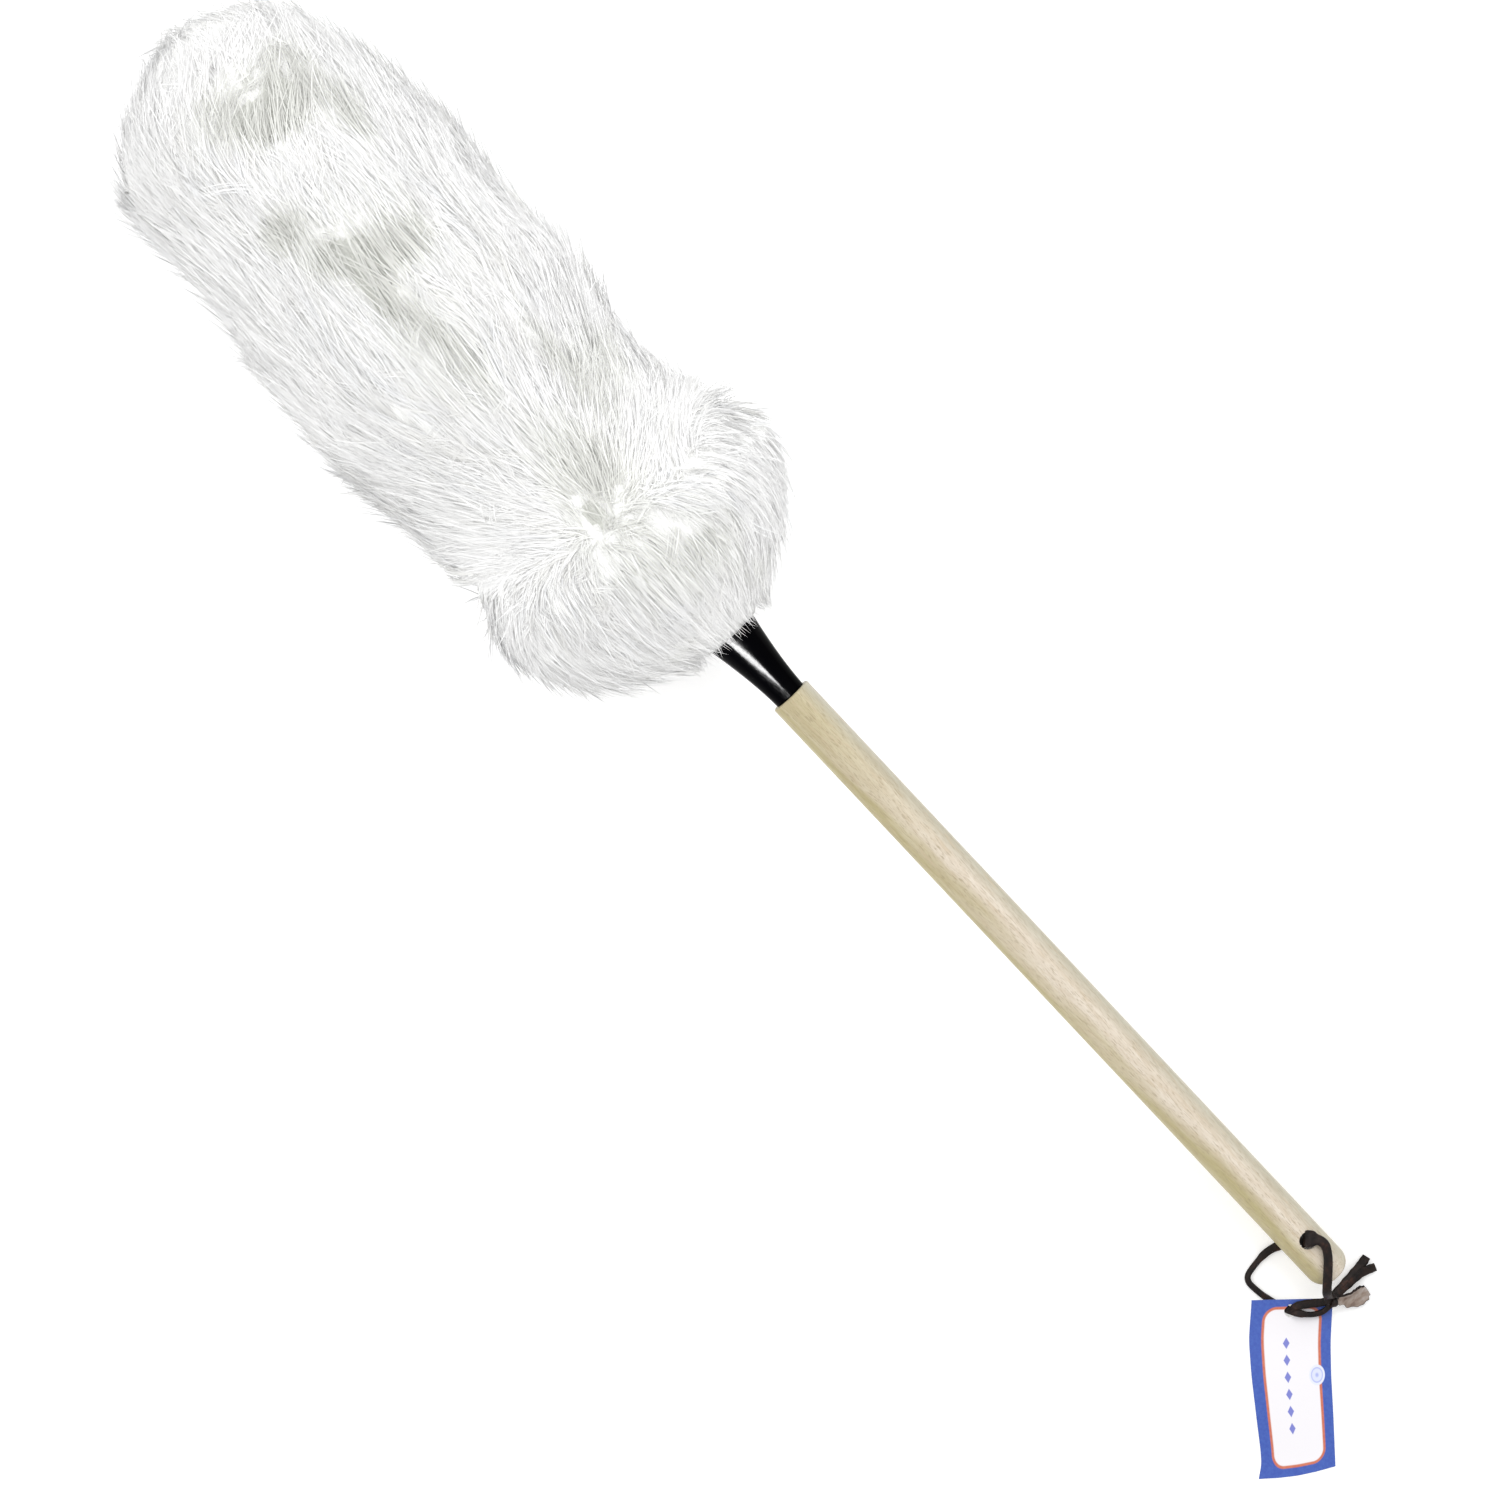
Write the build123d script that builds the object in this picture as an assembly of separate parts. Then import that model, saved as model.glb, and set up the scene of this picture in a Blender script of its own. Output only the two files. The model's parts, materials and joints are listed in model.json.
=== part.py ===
"""Lambswool duster: wooden dowel handle, moulded collar, sheepskin head, leather hanging lace and card tag.

It lies on a flat surface as it would on a shelf: the fleece, flattened where it rests, holds the head up, and
the handle slopes down to its domed end, where the lace passes under it. +X runs from the handle's end to the
head's tip, +Z is up, and the surface is Z = 0.
"""
from build123d import *
import math
import os

# ------------------------------------------------------------------ driving dimensions, millimetres and degrees
PITCH = 5.5                      # slope of the duster's axis, up towards the head
END_LIFT = 0.8                   # the handle's end stands this far above the surface

HANDLE_D = 15.9
HANDLE_LENGTH = 291.0
HANDLE_END_FILLET = 6.5
HANDLE_TOP_CHAMFER = 0.4
HANG_HOLE_D = 6.4
HANG_HOLE_FROM_END = 18.2
HANG_HOLE_ROLL = 9.0             # turned this far round the handle's axis

SPIGOT_D = 9.0                   # the collar's spigot, glued in the handle
SPIGOT_LENGTH = 31.5
SPIGOT_CHAMFER = 0.6
GLUE_GAP = 0.05                  # on the radius, at every glued joint
END_GAP = 0.5                    # left at the bottom of the handle's bore
NECK_D = 12.4                    # the collar where it leaves the handle
FLARE_CURVE = ((300.0, 6.8), (312.0, 8.4), (324.0, 10.7))      # the neck's radius at places along it
FLARE_END = 331.0                # the collar's widest place, from the handle's domed end
FLARE_D = 25.2
HUB_START = 333.0
HUB_END = 355.0
HUB_D = 20.0
BARB_D = 22.8
BARB_STARTS = (334.0, 339.5, 345.0)
BARB_LENGTH = 3.2
SOCKET_BOTTOM = 315.0
SOCKET_GAP = 0.1                 # between the socket's bottom and the core rod
SPIGOT_CORE_D = 4.4
SPIGOT_CORE_END = 300.0

CORE_ROD_D = 9.5
CORE_ROD_END = 586.3
CORE_ROD_CHAMFER = 0.8
PADDING_START = 365.0
PADDING_END = 574.0
PADDING_D = 26.4
PADDING_FILLET = 3.0

PELT_THICKNESS = 1.6             # the sheepskin's leather
PELT_NECK_D = 23.2               # inside, where it is bound down on the hub
PELT_BODY_D = 26.8               # inside, round the padding
PELT_START = 333.6
PELT_NECK_END = 353.0
PELT_BODY_START = 363.0
PELT_END = 575.0
SEAM_GAP = 0.4
CAP_START = 575.2
CAP_END = 588.0
CAP_CORNER = 6.0

STITCH_D = 0.7
STITCH_PITCH = 8.0
STITCH_SWEEP = 26.0              # degrees of arc that one stitch crosses
BINDING_D = 1.4
BINDING_PITCH = 1.5
BINDING_TURNS = 6
BINDING_START = 335.4
TACK_X = 349.8
TACK_COUNT = 4
TACK_HEAD_D = 4.6
TACK_HEAD_T = 0.8
TACK_SHANK_D = 1.4
TACK_TIP_R = 6.2
TIP_NAIL_D = 2.0
TIP_NAIL_HEAD_D = 8.0
TIP_NAIL_HEAD_T = 1.0
TIP_NAIL_LENGTH = 28.0
NAIL_TIP_GAP = 0.2               # between a tack's or nail's point and the bottom of its hole
OVERCUT = 1.0                    # how far a cutting bar runs on past the face that it opens

FLEECE_MOUTH_X = 319.0
FLEECE_TIP_X = 614.6
FLEECE_OUTLINE = (               # distance along the axis, half width of the pile
    (FLEECE_MOUTH_X, 12.0), (327.0, 30.0), (338.0, 47.5), (352.0, 57.5), (369.0, 62.8), (391.0, 54.5),
    (422.0, 51.0), (466.0, 58.5), (512.0, 55.0), (560.0, 50.5), (590.0, 43.5), (608.0, 25.0),
    (FLEECE_TIP_X, 0.0))
FLEECE_CLEARANCE = 1.2           # between the pile's inner side and the thread on the leather
FLEECE_MOUTH = ((314.0, 11.0), (322.0, 11.6))    # the radius that the pile leaves round the collar
FLEECE_TOE = ((581.2, 0.0), (591.0, 6.0))        # how far the pile's inner side draws in over the cap

LACE_D = 2.2                     # round tube that stands for the flat leather lace
LACE_LIES_AT = LACE_D / 2 + 0.02
TAIL_T = 1.5
KNOT_HALF = (3.0, 2.7)           # along and across the knot
TAG_T = 0.35
TAG_HOLE_D = 4.8
TAG_HEIGHT_AT_HOLE = 2.75        # the card's underside, held up by the lace below it
TAG_SLOPE = 2.44                 # degrees, down towards its lower edge

# Places of the lace and tag, from the upright line through the hanging hole: x towards the head, y, z.
TAG_HOLE = (-16.1, 20.7)
TAG_CORNERS = ((-3.5, 28.4), (-23.2, 6.4), (-68.6, 47.6), (-52.7, 71.3))
LACE_ROUTE = (
    (-22.4, 6.7, 6.6),           # in the knot
    (-21.2, 7.7, 12.2),          # up past the handle's domed end
    (-18.9, 6.5, 18.0),
    (-14.6, 2.0, 19.5),          # over the handle's crown
    (-9.4, -3.2, 19.4),
    (-4.6, -5.4, 19.6),
    (0.4, -1.6, 20.7),           # down into the hanging hole
    (0.2, -0.4, 13.6),
    (-0.3, 0.1, 7.4),
    (0.1, 0.6, LACE_LIES_AT),    # out of it, under the handle
    (3.6, 6.2, LACE_LIES_AT),
    (5.6, 12.2, LACE_LIES_AT),
    (5.0, 19.0, LACE_LIES_AT),
    (3.6, 25.0, LACE_LIES_AT),   # the loop's outer corner
    (-3.4, 24.6, LACE_LIES_AT),
    (-9.2, 23.4, LACE_LIES_AT),
    (-14.4, 21.5, LACE_LIES_AT),  # under the tag, up through its hole
    (-17.8, 19.9, 4.7),
    (-22.2, 16.4, 4.9),          # over the tag's face
    (-24.9, 11.4, 5.1),
    (-23.8, 7.9, 5.8))           # in the knot
KNOT_CENTRE = (-23.1, 7.2, 6.3)
DARK_TAIL = (                    # the outline seen from above, forked at its end
    (-23.9, 6.0), (-24.3, -1.0), (-24.6, -6.4), (-26.2, -12.2), (-23.4, -10.4), (-20.2, -12.4),
    (-20.6, -6.4), (-20.9, -1.0), (-21.2, 6.0))
DARK_TAIL_HEIGHTS = (5.6, 1.0)   # its middle at the knot and at its end
PALE_TAIL = (
    (-24.0, 6.2), (-25.0, 1.2), (-25.4, -2.6), (-27.2, -5.0), (-29.6, -4.6), (-30.8, -1.6),
    (-29.8, 2.4), (-27.4, 5.6), (-25.8, 7.0))
PALE_TAIL_HEIGHTS = (4.3, 0.9)
TAG_TURN = (                     # the lace's second turn, across the tag's upper edge to the knot
    (-14.7, 17.4), (-15.8, 14.3), (-18.1, 11.3), (-20.6, 8.7), (-22.2, 10.1), (-19.7, 12.7),
    (-17.5, 15.6), (-16.6, 17.9))
TAG_TURN_HEIGHTS = (4.45, 4.45)

axis_height_at_end = END_LIFT + HANDLE_D / 2
lay_down = Pos(0, 0, axis_height_at_end) * Rot(0, -PITCH, 0)
hole_centre = (lay_down * Pos(HANG_HOLE_FROM_END, 0, 0)).position


# ------------------------------------------------------------------ shapes shared by several pieces
def turned(*corners):
    """A solid turned round the X axis from a closed outline of (distance along X, radius) corners."""
    return revolve(make_face(Polyline(*corners, close=True)), axis=Axis.X)


def bar(start, end, diameter):
    """A round bar along X."""
    return extrude(Plane.YZ.offset(start) * Circle(diameter / 2), end - start)


def ring(x, centre_radius, wire_diameter):
    """A closed ring of round cord about the X axis."""
    return Plane.YZ.offset(x) * Torus(centre_radius, wire_diameter / 2)


def spokes(start, end, diameter):
    """Radial bars at the tacks' places, between two radii."""
    one = extrude(Plane.XY.offset(start) * Pos(TACK_X, 0) * Circle(diameter / 2), end - start)
    return [Rot((i + 0.5) * 360 / TACK_COUNT, 0, 0) * one for i in range(TACK_COUNT)]


# ------------------------------------------------------------------ handle and collar
def make_handle():
    dowel = bar(0, HANDLE_LENGTH, HANDLE_D)
    dowel = fillet(dowel.edges().sort_by(Axis.X)[0], HANDLE_END_FILLET)
    dowel = chamfer(dowel.edges().sort_by(Axis.X)[-1], HANDLE_TOP_CHAMFER)
    hole = Pos(HANG_HOLE_FROM_END, 0, 0) * Rot(HANG_HOLE_ROLL, 0, 0) * Cylinder(HANG_HOLE_D / 2, 2 * HANDLE_D)
    bore = bar(HANDLE_LENGTH - SPIGOT_LENGTH - END_GAP, HANDLE_LENGTH + OVERCUT, SPIGOT_D + 2 * GLUE_GAP)
    return dowel - hole - bore


def make_collar():
    """Moulded in one: spigot, flared neck, flange, and a barbed hub with a socket for the core rod."""
    neck_r = NECK_D / 2
    flare_r = FLARE_D / 2
    foot = (HANDLE_LENGTH + GLUE_GAP, neck_r)
    flare = Spline(foot, *FLARE_CURVE, (FLARE_END, flare_r))
    back = Polyline((FLARE_END, flare_r), (HUB_START, flare_r), (HUB_START, 0), (foot[0], 0), foot)
    neck = revolve(make_face([flare, back]), axis=Axis.X)
    spigot = bar(HANDLE_LENGTH - SPIGOT_LENGTH, HANDLE_LENGTH + OVERCUT, SPIGOT_D)
    spigot = chamfer(spigot.edges().sort_by(Axis.X)[0], SPIGOT_CHAMFER)
    hub = bar(HUB_START - OVERCUT, HUB_END, HUB_D)
    collar = neck + spigot + hub
    for start in BARB_STARTS:
        end = start + BARB_LENGTH
        collar += turned((start, 0), (start, HUB_D / 2), (end, BARB_D / 2), (end, 0))
    collar -= bar(SOCKET_BOTTOM, HUB_END + OVERCUT, CORE_ROD_D + 2 * GLUE_GAP)
    collar -= bar(HANDLE_LENGTH - SPIGOT_LENGTH - OVERCUT, SPIGOT_CORE_END, SPIGOT_CORE_D)
    for hole in spokes(TACK_TIP_R - NAIL_TIP_GAP, HUB_D, TACK_SHANK_D + 2 * GLUE_GAP):
        collar -= hole
    return collar


# ------------------------------------------------------------------ inside the head
def make_core_rod():
    dowel = bar(SOCKET_BOTTOM + SOCKET_GAP, CORE_ROD_END, CORE_ROD_D)
    dowel = chamfer(dowel.edges().group_by(Axis.X)[0], CORE_ROD_CHAMFER)
    hole_start = CAP_END - TIP_NAIL_LENGTH - NAIL_TIP_GAP
    return dowel - bar(hole_start, CORE_ROD_END + OVERCUT, TIP_NAIL_D + 2 * GLUE_GAP)


def make_padding():
    roll = bar(PADDING_START, PADDING_END, PADDING_D)
    roll = fillet(roll.edges().group_by(Axis.X)[0] + roll.edges().group_by(Axis.X)[-1], PADDING_FILLET)
    return roll - bar(PADDING_START - OVERCUT, PADDING_END + OVERCUT, CORE_ROD_D + 2 * GLUE_GAP)


def make_pelt_sleeve():
    """The leather of the sheepskin, sewn into a tube along a seam underneath and necked in over the hub."""
    neck_r = PELT_NECK_D / 2
    body_r = PELT_BODY_D / 2
    t = PELT_THICKNESS
    sleeve = turned(
        (PELT_START, neck_r), (PELT_NECK_END, neck_r), (PELT_BODY_START, body_r), (PELT_END, body_r),
        (PELT_END, body_r + t), (PELT_BODY_START, body_r + t), (PELT_NECK_END, neck_r + t),
        (PELT_START, neck_r + t))
    seam = Pos((PELT_START + PELT_END) / 2, 0, -PELT_BODY_D / 2) * Box(PELT_END, SEAM_GAP, PELT_BODY_D)
    sleeve -= seam
    for hole in spokes(neck_r - OVERCUT, neck_r + t + OVERCUT, TACK_SHANK_D + 2 * GLUE_GAP):
        sleeve -= hole
    return sleeve


def make_pelt_tip_cap():
    """A round of sheepskin that closes the sleeve's end."""
    outer_r = PELT_BODY_D / 2 + PELT_THICKNESS
    outer = bar(CAP_START, CAP_END, 2 * outer_r)
    outer = fillet(outer.edges().sort_by(Axis.X)[-1], CAP_CORNER)
    inner = bar(CAP_START - OVERCUT, CAP_END - PELT_THICKNESS, PELT_BODY_D)
    inner = fillet(inner.edges().sort_by(Axis.X)[-1], CAP_CORNER - PELT_THICKNESS)
    return outer - inner - bar(CAP_START, CAP_END + OVERCUT, TIP_NAIL_D + 2 * GLUE_GAP)


def make_seam_stitches():
    """Whip stitches of waxed thread across the sleeve's seam."""
    radius = PELT_BODY_D / 2 + PELT_THICKNESS + STITCH_D / 2 + GLUE_GAP
    count = int((PELT_END - PELT_BODY_START - STITCH_PITCH) / STITCH_PITCH)
    stitches = []
    for i in range(count):
        x = PELT_BODY_START + (i + 1) * STITCH_PITCH
        thread = Plane.XZ * Pos(x, -radius) * Circle(STITCH_D / 2)
        half = Rot(-STITCH_SWEEP / 2, 0, 0) * thread
        stitches.append(revolve(half, axis=Axis.X, revolution_arc=STITCH_SWEEP))
    return stitches


def make_cap_stitching():
    """The thread that gathers the cap to the sleeve, at their joint."""
    radius = PELT_BODY_D / 2 + PELT_THICKNESS + STITCH_D / 2 + GLUE_GAP
    return ring((PELT_END + CAP_START) / 2, radius, STITCH_D)


def make_binding():
    """Turns of waxed cord that bind the sleeve's neck down between the hub's barbs."""
    radius = PELT_NECK_D / 2 + PELT_THICKNESS + BINDING_D / 2 + GLUE_GAP
    return [ring(BINDING_START + i * BINDING_PITCH, radius, BINDING_D) for i in range(BINDING_TURNS)]


def make_sleeve_tacks():
    """Tacks through the sleeve's neck into the hub."""
    seat = PELT_NECK_D / 2 + PELT_THICKNESS + GLUE_GAP
    shanks = spokes(TACK_TIP_R, seat + TACK_HEAD_T / 2, TACK_SHANK_D)
    heads = spokes(seat, seat + TACK_HEAD_T, TACK_HEAD_D)
    return [shank + head for shank, head in zip(shanks, heads)]


def make_tip_nail():
    """Broad-headed nail through the cap into the core rod's end."""
    head_start = CAP_END + GLUE_GAP
    shank = bar(CAP_END - TIP_NAIL_LENGTH, head_start + TIP_NAIL_HEAD_T / 2, TIP_NAIL_D)
    return shank + bar(head_start, head_start + TIP_NAIL_HEAD_T, TIP_NAIL_HEAD_D)


# ------------------------------------------------------------------ fleece
def make_fleece():
    """The pile's outer form, hollow for the sleeve and collar, and flattened where it rests."""
    edge = Spline(*FLEECE_OUTLINE)
    closing = Polyline((FLEECE_TIP_X, 0), (FLEECE_MOUTH_X, 0), FLEECE_OUTLINE[0])
    pile = revolve(make_face([edge, closing]), axis=Axis.X)
    neck_r = PELT_NECK_D / 2 + PELT_THICKNESS + BINDING_D + FLEECE_CLEARANCE
    body_r = PELT_BODY_D / 2 + PELT_THICKNESS + STITCH_D + FLEECE_CLEARANCE
    toe = [(x, body_r - drawn_in) for x, drawn_in in FLEECE_TOE]
    cavity = turned(
        (FLEECE_MOUTH[0][0], 0), *FLEECE_MOUTH, (FLARE_END, neck_r), (PELT_NECK_END, neck_r),
        (PELT_BODY_START, body_r), *toe, (toe[-1][0], 0))
    pile = lay_down * (pile - cavity)
    return split(pile, bisect_by=Plane.XY, keep=Keep.TOP)


# ------------------------------------------------------------------ hanging lace and tag
def from_hole(x, y, z):
    """A place measured from the upright line through the hanging hole."""
    return Vector(hole_centre.X + x, hole_centre.Y + y, z)


def corner_radii(points):
    """For each corner, 0.45 of the shorter run beside it over the tangent of half its turn."""
    radii = []
    for before, here, after in zip(points, points[1:], points[2:]):
        turn = math.radians((here - before).get_angle(after - here))
        radii.append(0.45 * min((here - before).length, (after - here).length) / math.tan(turn / 2))
    return radii


def make_hang_lace():
    points = [from_hole(*place) for place in LACE_ROUTE]
    radii = corner_radii(points)
    route = FilletPolyline(*points, radius=radii)
    lace = sweep(Plane(route @ 0, z_dir=route % 0) * Circle(LACE_D / 2), path=route)
    print("lace radii, mm:", [round(r, 1) for r in radii])
    runs = [(b - a).length for a, b in zip(points, points[1:])]
    print("lace runs, mm:", [round(r, 1) for r in runs])
    print("lace length", round(route.length, 1), "volume over section times length",
          round(lace.volume / (math.pi * LACE_D ** 2 / 4 * route.length), 4))
    return lace


def make_lace_knot():
    along, across = KNOT_HALF
    half = Ellipse(along, across) & Pos(0, across) * Rectangle(4 * along, 2 * across)
    return Pos(from_hole(*KNOT_CENTRE)) * Rot(0, 0, 60) * revolve(half, axis=Axis.X)


def sloping_strap(outline, heights):
    """A lace end cut flat to a plan outline, its middle falling from one height to another along -Y."""
    ys = [y for x, y in outline]
    fall = heights[0] - heights[1]
    slope = math.degrees(math.atan2(fall, max(ys) - min(ys)))
    strap = Pos(0, -max(ys), -TAIL_T / 2) * extrude(make_face(Polyline(*outline, close=True)), TAIL_T)
    return Pos(from_hole(0, max(ys), heights[0])) * Rot(slope, 0, 0) * strap


def make_hang_tag():
    """A printed card on the lace, propped on it at the hole and resting on its lower edge."""
    hole_x, hole_y = TAG_HOLE
    (left_x, left_y), (right_x, right_y) = TAG_CORNERS[:2]
    turn = math.degrees(math.atan2(left_y - right_y, left_x - right_x))
    corners = [Vector(x - hole_x, y - hole_y).rotate(Axis.Z, -turn) for x, y in TAG_CORNERS]
    card = extrude(make_face(Polyline(*corners, close=True)), TAG_T)
    card -= Cylinder(TAG_HOLE_D / 2, 4 * TAG_T)
    place = Pos(from_hole(hole_x, hole_y, TAG_HEIGHT_AT_HOLE))
    return place * Rot(0, 0, turn) * Rot(-TAG_SLOPE, 0, 0) * card


# ------------------------------------------------------------------ assembly
along_axis = {
    "handle": make_handle(),
    "collar": make_collar(),
    "core_rod": make_core_rod(),
    "padding_roll": make_padding(),
    "pelt_sleeve": make_pelt_sleeve(),
    "pelt_tip_cap": make_pelt_tip_cap(),
    "sleeve_seam_stitches": make_seam_stitches(),
    "cap_stitching": make_cap_stitching(),
    "sleeve_neck_binding": make_binding(),
    "sleeve_tacks": make_sleeve_tacks(),
    "tip_nail": make_tip_nail(),
}
pieces = {}
for name, made in along_axis.items():
    solids = made if isinstance(made, list) else [made]
    pieces[name] = Compound([lay_down * solid for solid in solids])
pieces["fleece"] = Compound([make_fleece()])
object_box = Compound(list(pieces.values())).bounding_box()

pieces["hang_lace"] = Compound([make_hang_lace()])
pieces["lace_knot"] = Compound([make_lace_knot()])
pieces["dark_lace_tail"] = Compound([sloping_strap(DARK_TAIL, DARK_TAIL_HEIGHTS)])
pieces["pale_lace_tail"] = Compound([sloping_strap(PALE_TAIL, PALE_TAIL_HEIGHTS)])
pieces["lace_tag_turn"] = Compound([sloping_strap(TAG_TURN, TAG_TURN_HEIGHTS)])
pieces["hang_tag"] = Compound([make_hang_tag()])

to_origin = Pos(-object_box.center().X, -object_box.center().Y, 0)
hinge = (to_origin * Pos(hole_centre)).position
print("hanging hole, mm:", hinge)
os.makedirs("parts", exist_ok=True)
for name, piece in pieces.items():
    export_step(to_origin * piece, f"parts/{name}.step")
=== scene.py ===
"""Lambswool duster on a pale studio floor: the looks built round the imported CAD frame.

Everything is in the frame's own axes: +X from the handle's hanging end to the head's tip, +Z up, and the
floor at Z = 0. Sizes are in millimetres until MM turns them into metres. The camera's, the lights' and the
floor's are in metres. The duster's own axis slopes up towards its head, so places on it are given as (along,
side, up): along the axis from the handle's domed end, to the side where the tag lies, and square to both.
"""
import json
import math

import bmesh
import bpy
import numpy as np
from mathutils import Matrix, Vector
from mathutils.geometry import delaunay_2d_cdt


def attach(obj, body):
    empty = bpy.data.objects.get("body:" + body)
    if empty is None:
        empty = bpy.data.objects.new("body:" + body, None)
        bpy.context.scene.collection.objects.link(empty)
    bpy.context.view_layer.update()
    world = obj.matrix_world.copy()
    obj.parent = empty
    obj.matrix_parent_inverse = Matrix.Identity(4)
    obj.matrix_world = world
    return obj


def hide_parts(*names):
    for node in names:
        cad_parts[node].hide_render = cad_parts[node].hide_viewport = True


MM = 0.001
FLOOR_CLEARANCE = 0.05 * MM
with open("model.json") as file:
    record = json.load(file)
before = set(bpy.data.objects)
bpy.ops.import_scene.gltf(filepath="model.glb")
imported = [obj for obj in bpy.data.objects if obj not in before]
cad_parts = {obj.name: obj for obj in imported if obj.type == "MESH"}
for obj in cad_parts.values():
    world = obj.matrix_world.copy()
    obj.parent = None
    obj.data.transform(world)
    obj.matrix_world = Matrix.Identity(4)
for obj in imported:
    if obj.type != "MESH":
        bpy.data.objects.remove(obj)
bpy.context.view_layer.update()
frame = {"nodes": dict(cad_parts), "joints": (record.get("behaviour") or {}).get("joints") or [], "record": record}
nodes = frame["nodes"]
scene = bpy.context.scene
random = np.random.default_rng(20)

# ---- places taken from the frame
HOLE_FROM_END = 18.2 * MM
joint_places = {joint["name"]: Vector(joint["pos_m"]) for joint in frame["joints"]}
mounts = {mount["name"]: mount for mount in frame["record"]["mounts"]}
hang_hole = joint_places["lace_swing"]
ALONG = -Vector(mounts["handle_shaft"]["axis"])
SIDE = Vector((0, 1, 0))
UP = ALONG.cross(SIDE)
handle_end = hang_hole - HOLE_FROM_END * ALONG
pitch = math.atan2(ALONG.z, ALONG.x)


def on_duster(along, side, up):
    """Arrays of places on the duster's own axis, in metres, as an (n, 3) array in the frame."""
    parts = [np.asarray(p, float)[..., None] for p in (along, side, up)]
    return np.array(handle_end) + parts[0] * ALONG + parts[1] * SIDE + parts[2] * UP


def from_hole(x, y, z):
    """A place in millimetres from the upright line through the hanging hole, z above the floor."""
    return Vector((hang_hole.x + x * MM, hang_hole.y + y * MM, z * MM))


# ---- camera: straight down, rolled
CAMERA_AIM = (-0.0207, 0.0241)
CAMERA_ROLL = math.radians(-133.27)
FRAME_WIDTH = 0.54075
FRAME_HEIGHT_ABOVE_FLOOR = 0.035
LENS = 250.0
SENSOR = 36.0

camera_data = bpy.data.cameras.new("camera")
camera_data.lens = LENS
camera_data.sensor_width = SENSOR
camera_data.clip_end = 40.0
camera = bpy.data.objects.new("camera", camera_data)
camera.location = (*CAMERA_AIM, FRAME_HEIGHT_ABOVE_FLOOR + FRAME_WIDTH * LENS / SENSOR)
camera.rotation_euler = (0, 0, CAMERA_ROLL)
scene.collection.objects.link(camera)
scene.camera = camera
scene.view_settings.view_transform = "Standard"


# ---- materials
class Nodes:
    """A material and its node tree, with a short way to add joined nodes."""

    def __init__(self, name, **sockets):
        self.material = bpy.data.materials.new(name)
        self.material.use_nodes = True
        self.tree = self.material.node_tree
        self.shader = self.tree.nodes["Principled BSDF"]
        for socket, value in sockets.items():
            self.set(socket.replace("_", " "), value)

    def fill(self, socket, value):
        """Joins an output to an input socket, or gives it a value. A colour is three numbers."""
        if isinstance(value, bpy.types.NodeSocket):
            self.tree.links.new(value, socket)
        elif socket.type == "RGBA":
            socket.default_value = (*value, 1.0)
        else:
            socket.default_value = value

    def set(self, socket, value):
        """Fills one of the shader's own sockets."""
        self.fill(self.shader.inputs[socket], value)

    def add(self, kind, inputs=None, **settings):
        """A new node. Its inputs are given by socket name or number."""
        node = self.tree.nodes.new("ShaderNode" + kind)
        for setting, value in settings.items():
            setattr(node, setting, value)
        for socket, value in (inputs or {}).items():
            self.fill(node.inputs[socket], value)
        return node

    def places(self, scale=(1, 1, 1), turn=(0, 0, 0)):
        """Coordinates on the piece, turned and scaled."""
        inputs = {"Vector": self.add("TexCoord").outputs["Object"], "Rotation": turn, "Scale": scale}
        return self.add("Mapping", inputs).outputs[0]

    def on_axis(self, along, across):
        """Coordinates turned to the duster's axis, scaled along it and across it."""
        return self.places((along, across, across), (0, pitch, 0))

    def noise(self, scale, detail=3, roughness=0.5, distortion=0, places=None):
        inputs = {"Vector": places or self.places(), "Scale": scale, "Detail": detail, "Roughness": roughness,
                  "Distortion": distortion}
        return self.add("TexNoise", inputs).outputs["Fac"]

    def ramp(self, factor, *stops):
        """A colour ramp from (position, colour) stops."""
        node = self.add("ValToRGB", {"Fac": factor})
        elements = node.color_ramp.elements
        while len(elements) < len(stops):
            elements.new(0.5)
        for element, (position, colour) in zip(elements, stops):
            element.position = position
            element.color = (*colour, 1.0)
        return node.outputs["Color"]

    def mix(self, factor, a, b, blend="MIX"):
        """Two colours mixed by a factor."""
        return self.add("Mix", {0: factor, 6: a, 7: b}, data_type="RGBA", blend_type=blend).outputs[2]

    def math(self, operation, a, b=0.0):
        return self.add("Math", {0: a, 1: b}, operation=operation).outputs[0]

    def length(self, *parts):
        """The length of a flat vector."""
        squares = [self.math("MULTIPLY", part, part) for part in parts]
        return self.math("SQRT", self.math("ADD", *squares))

    def span(self, value, low, high, to_low=0.0, to_high=1.0):
        """A value carried from one span to another, kept inside it."""
        inputs = {"Value": value, "From Min": low, "From Max": high, "To Min": to_low, "To Max": to_high}
        return self.add("MapRange", inputs).outputs[0]

    def made(self, colour, roughness=None, bump=()):
        """The material with its colour, roughness and bump, which is (height, strength, distance)."""
        self.set("Base Color", colour)
        if roughness is not None:
            self.set("Roughness", roughness)
        if bump:
            relief = self.add("Bump", dict(zip(("Height", "Strength", "Distance"), bump)))
            self.set("Normal", relief.outputs[0])
        return self.material


def grained(name, low, high, bump, noise, scales=None, **sockets):
    """A plain finish: one noise blends its two colours and stands out as its bump."""
    m = Nodes(name, **sockets)
    grain = m.noise(*noise, places=m.on_axis(*scales) if scales else None)
    return m.made(m.ramp(grain, (0.3, low), (0.7, high)), bump=(grain, *bump))


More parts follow.
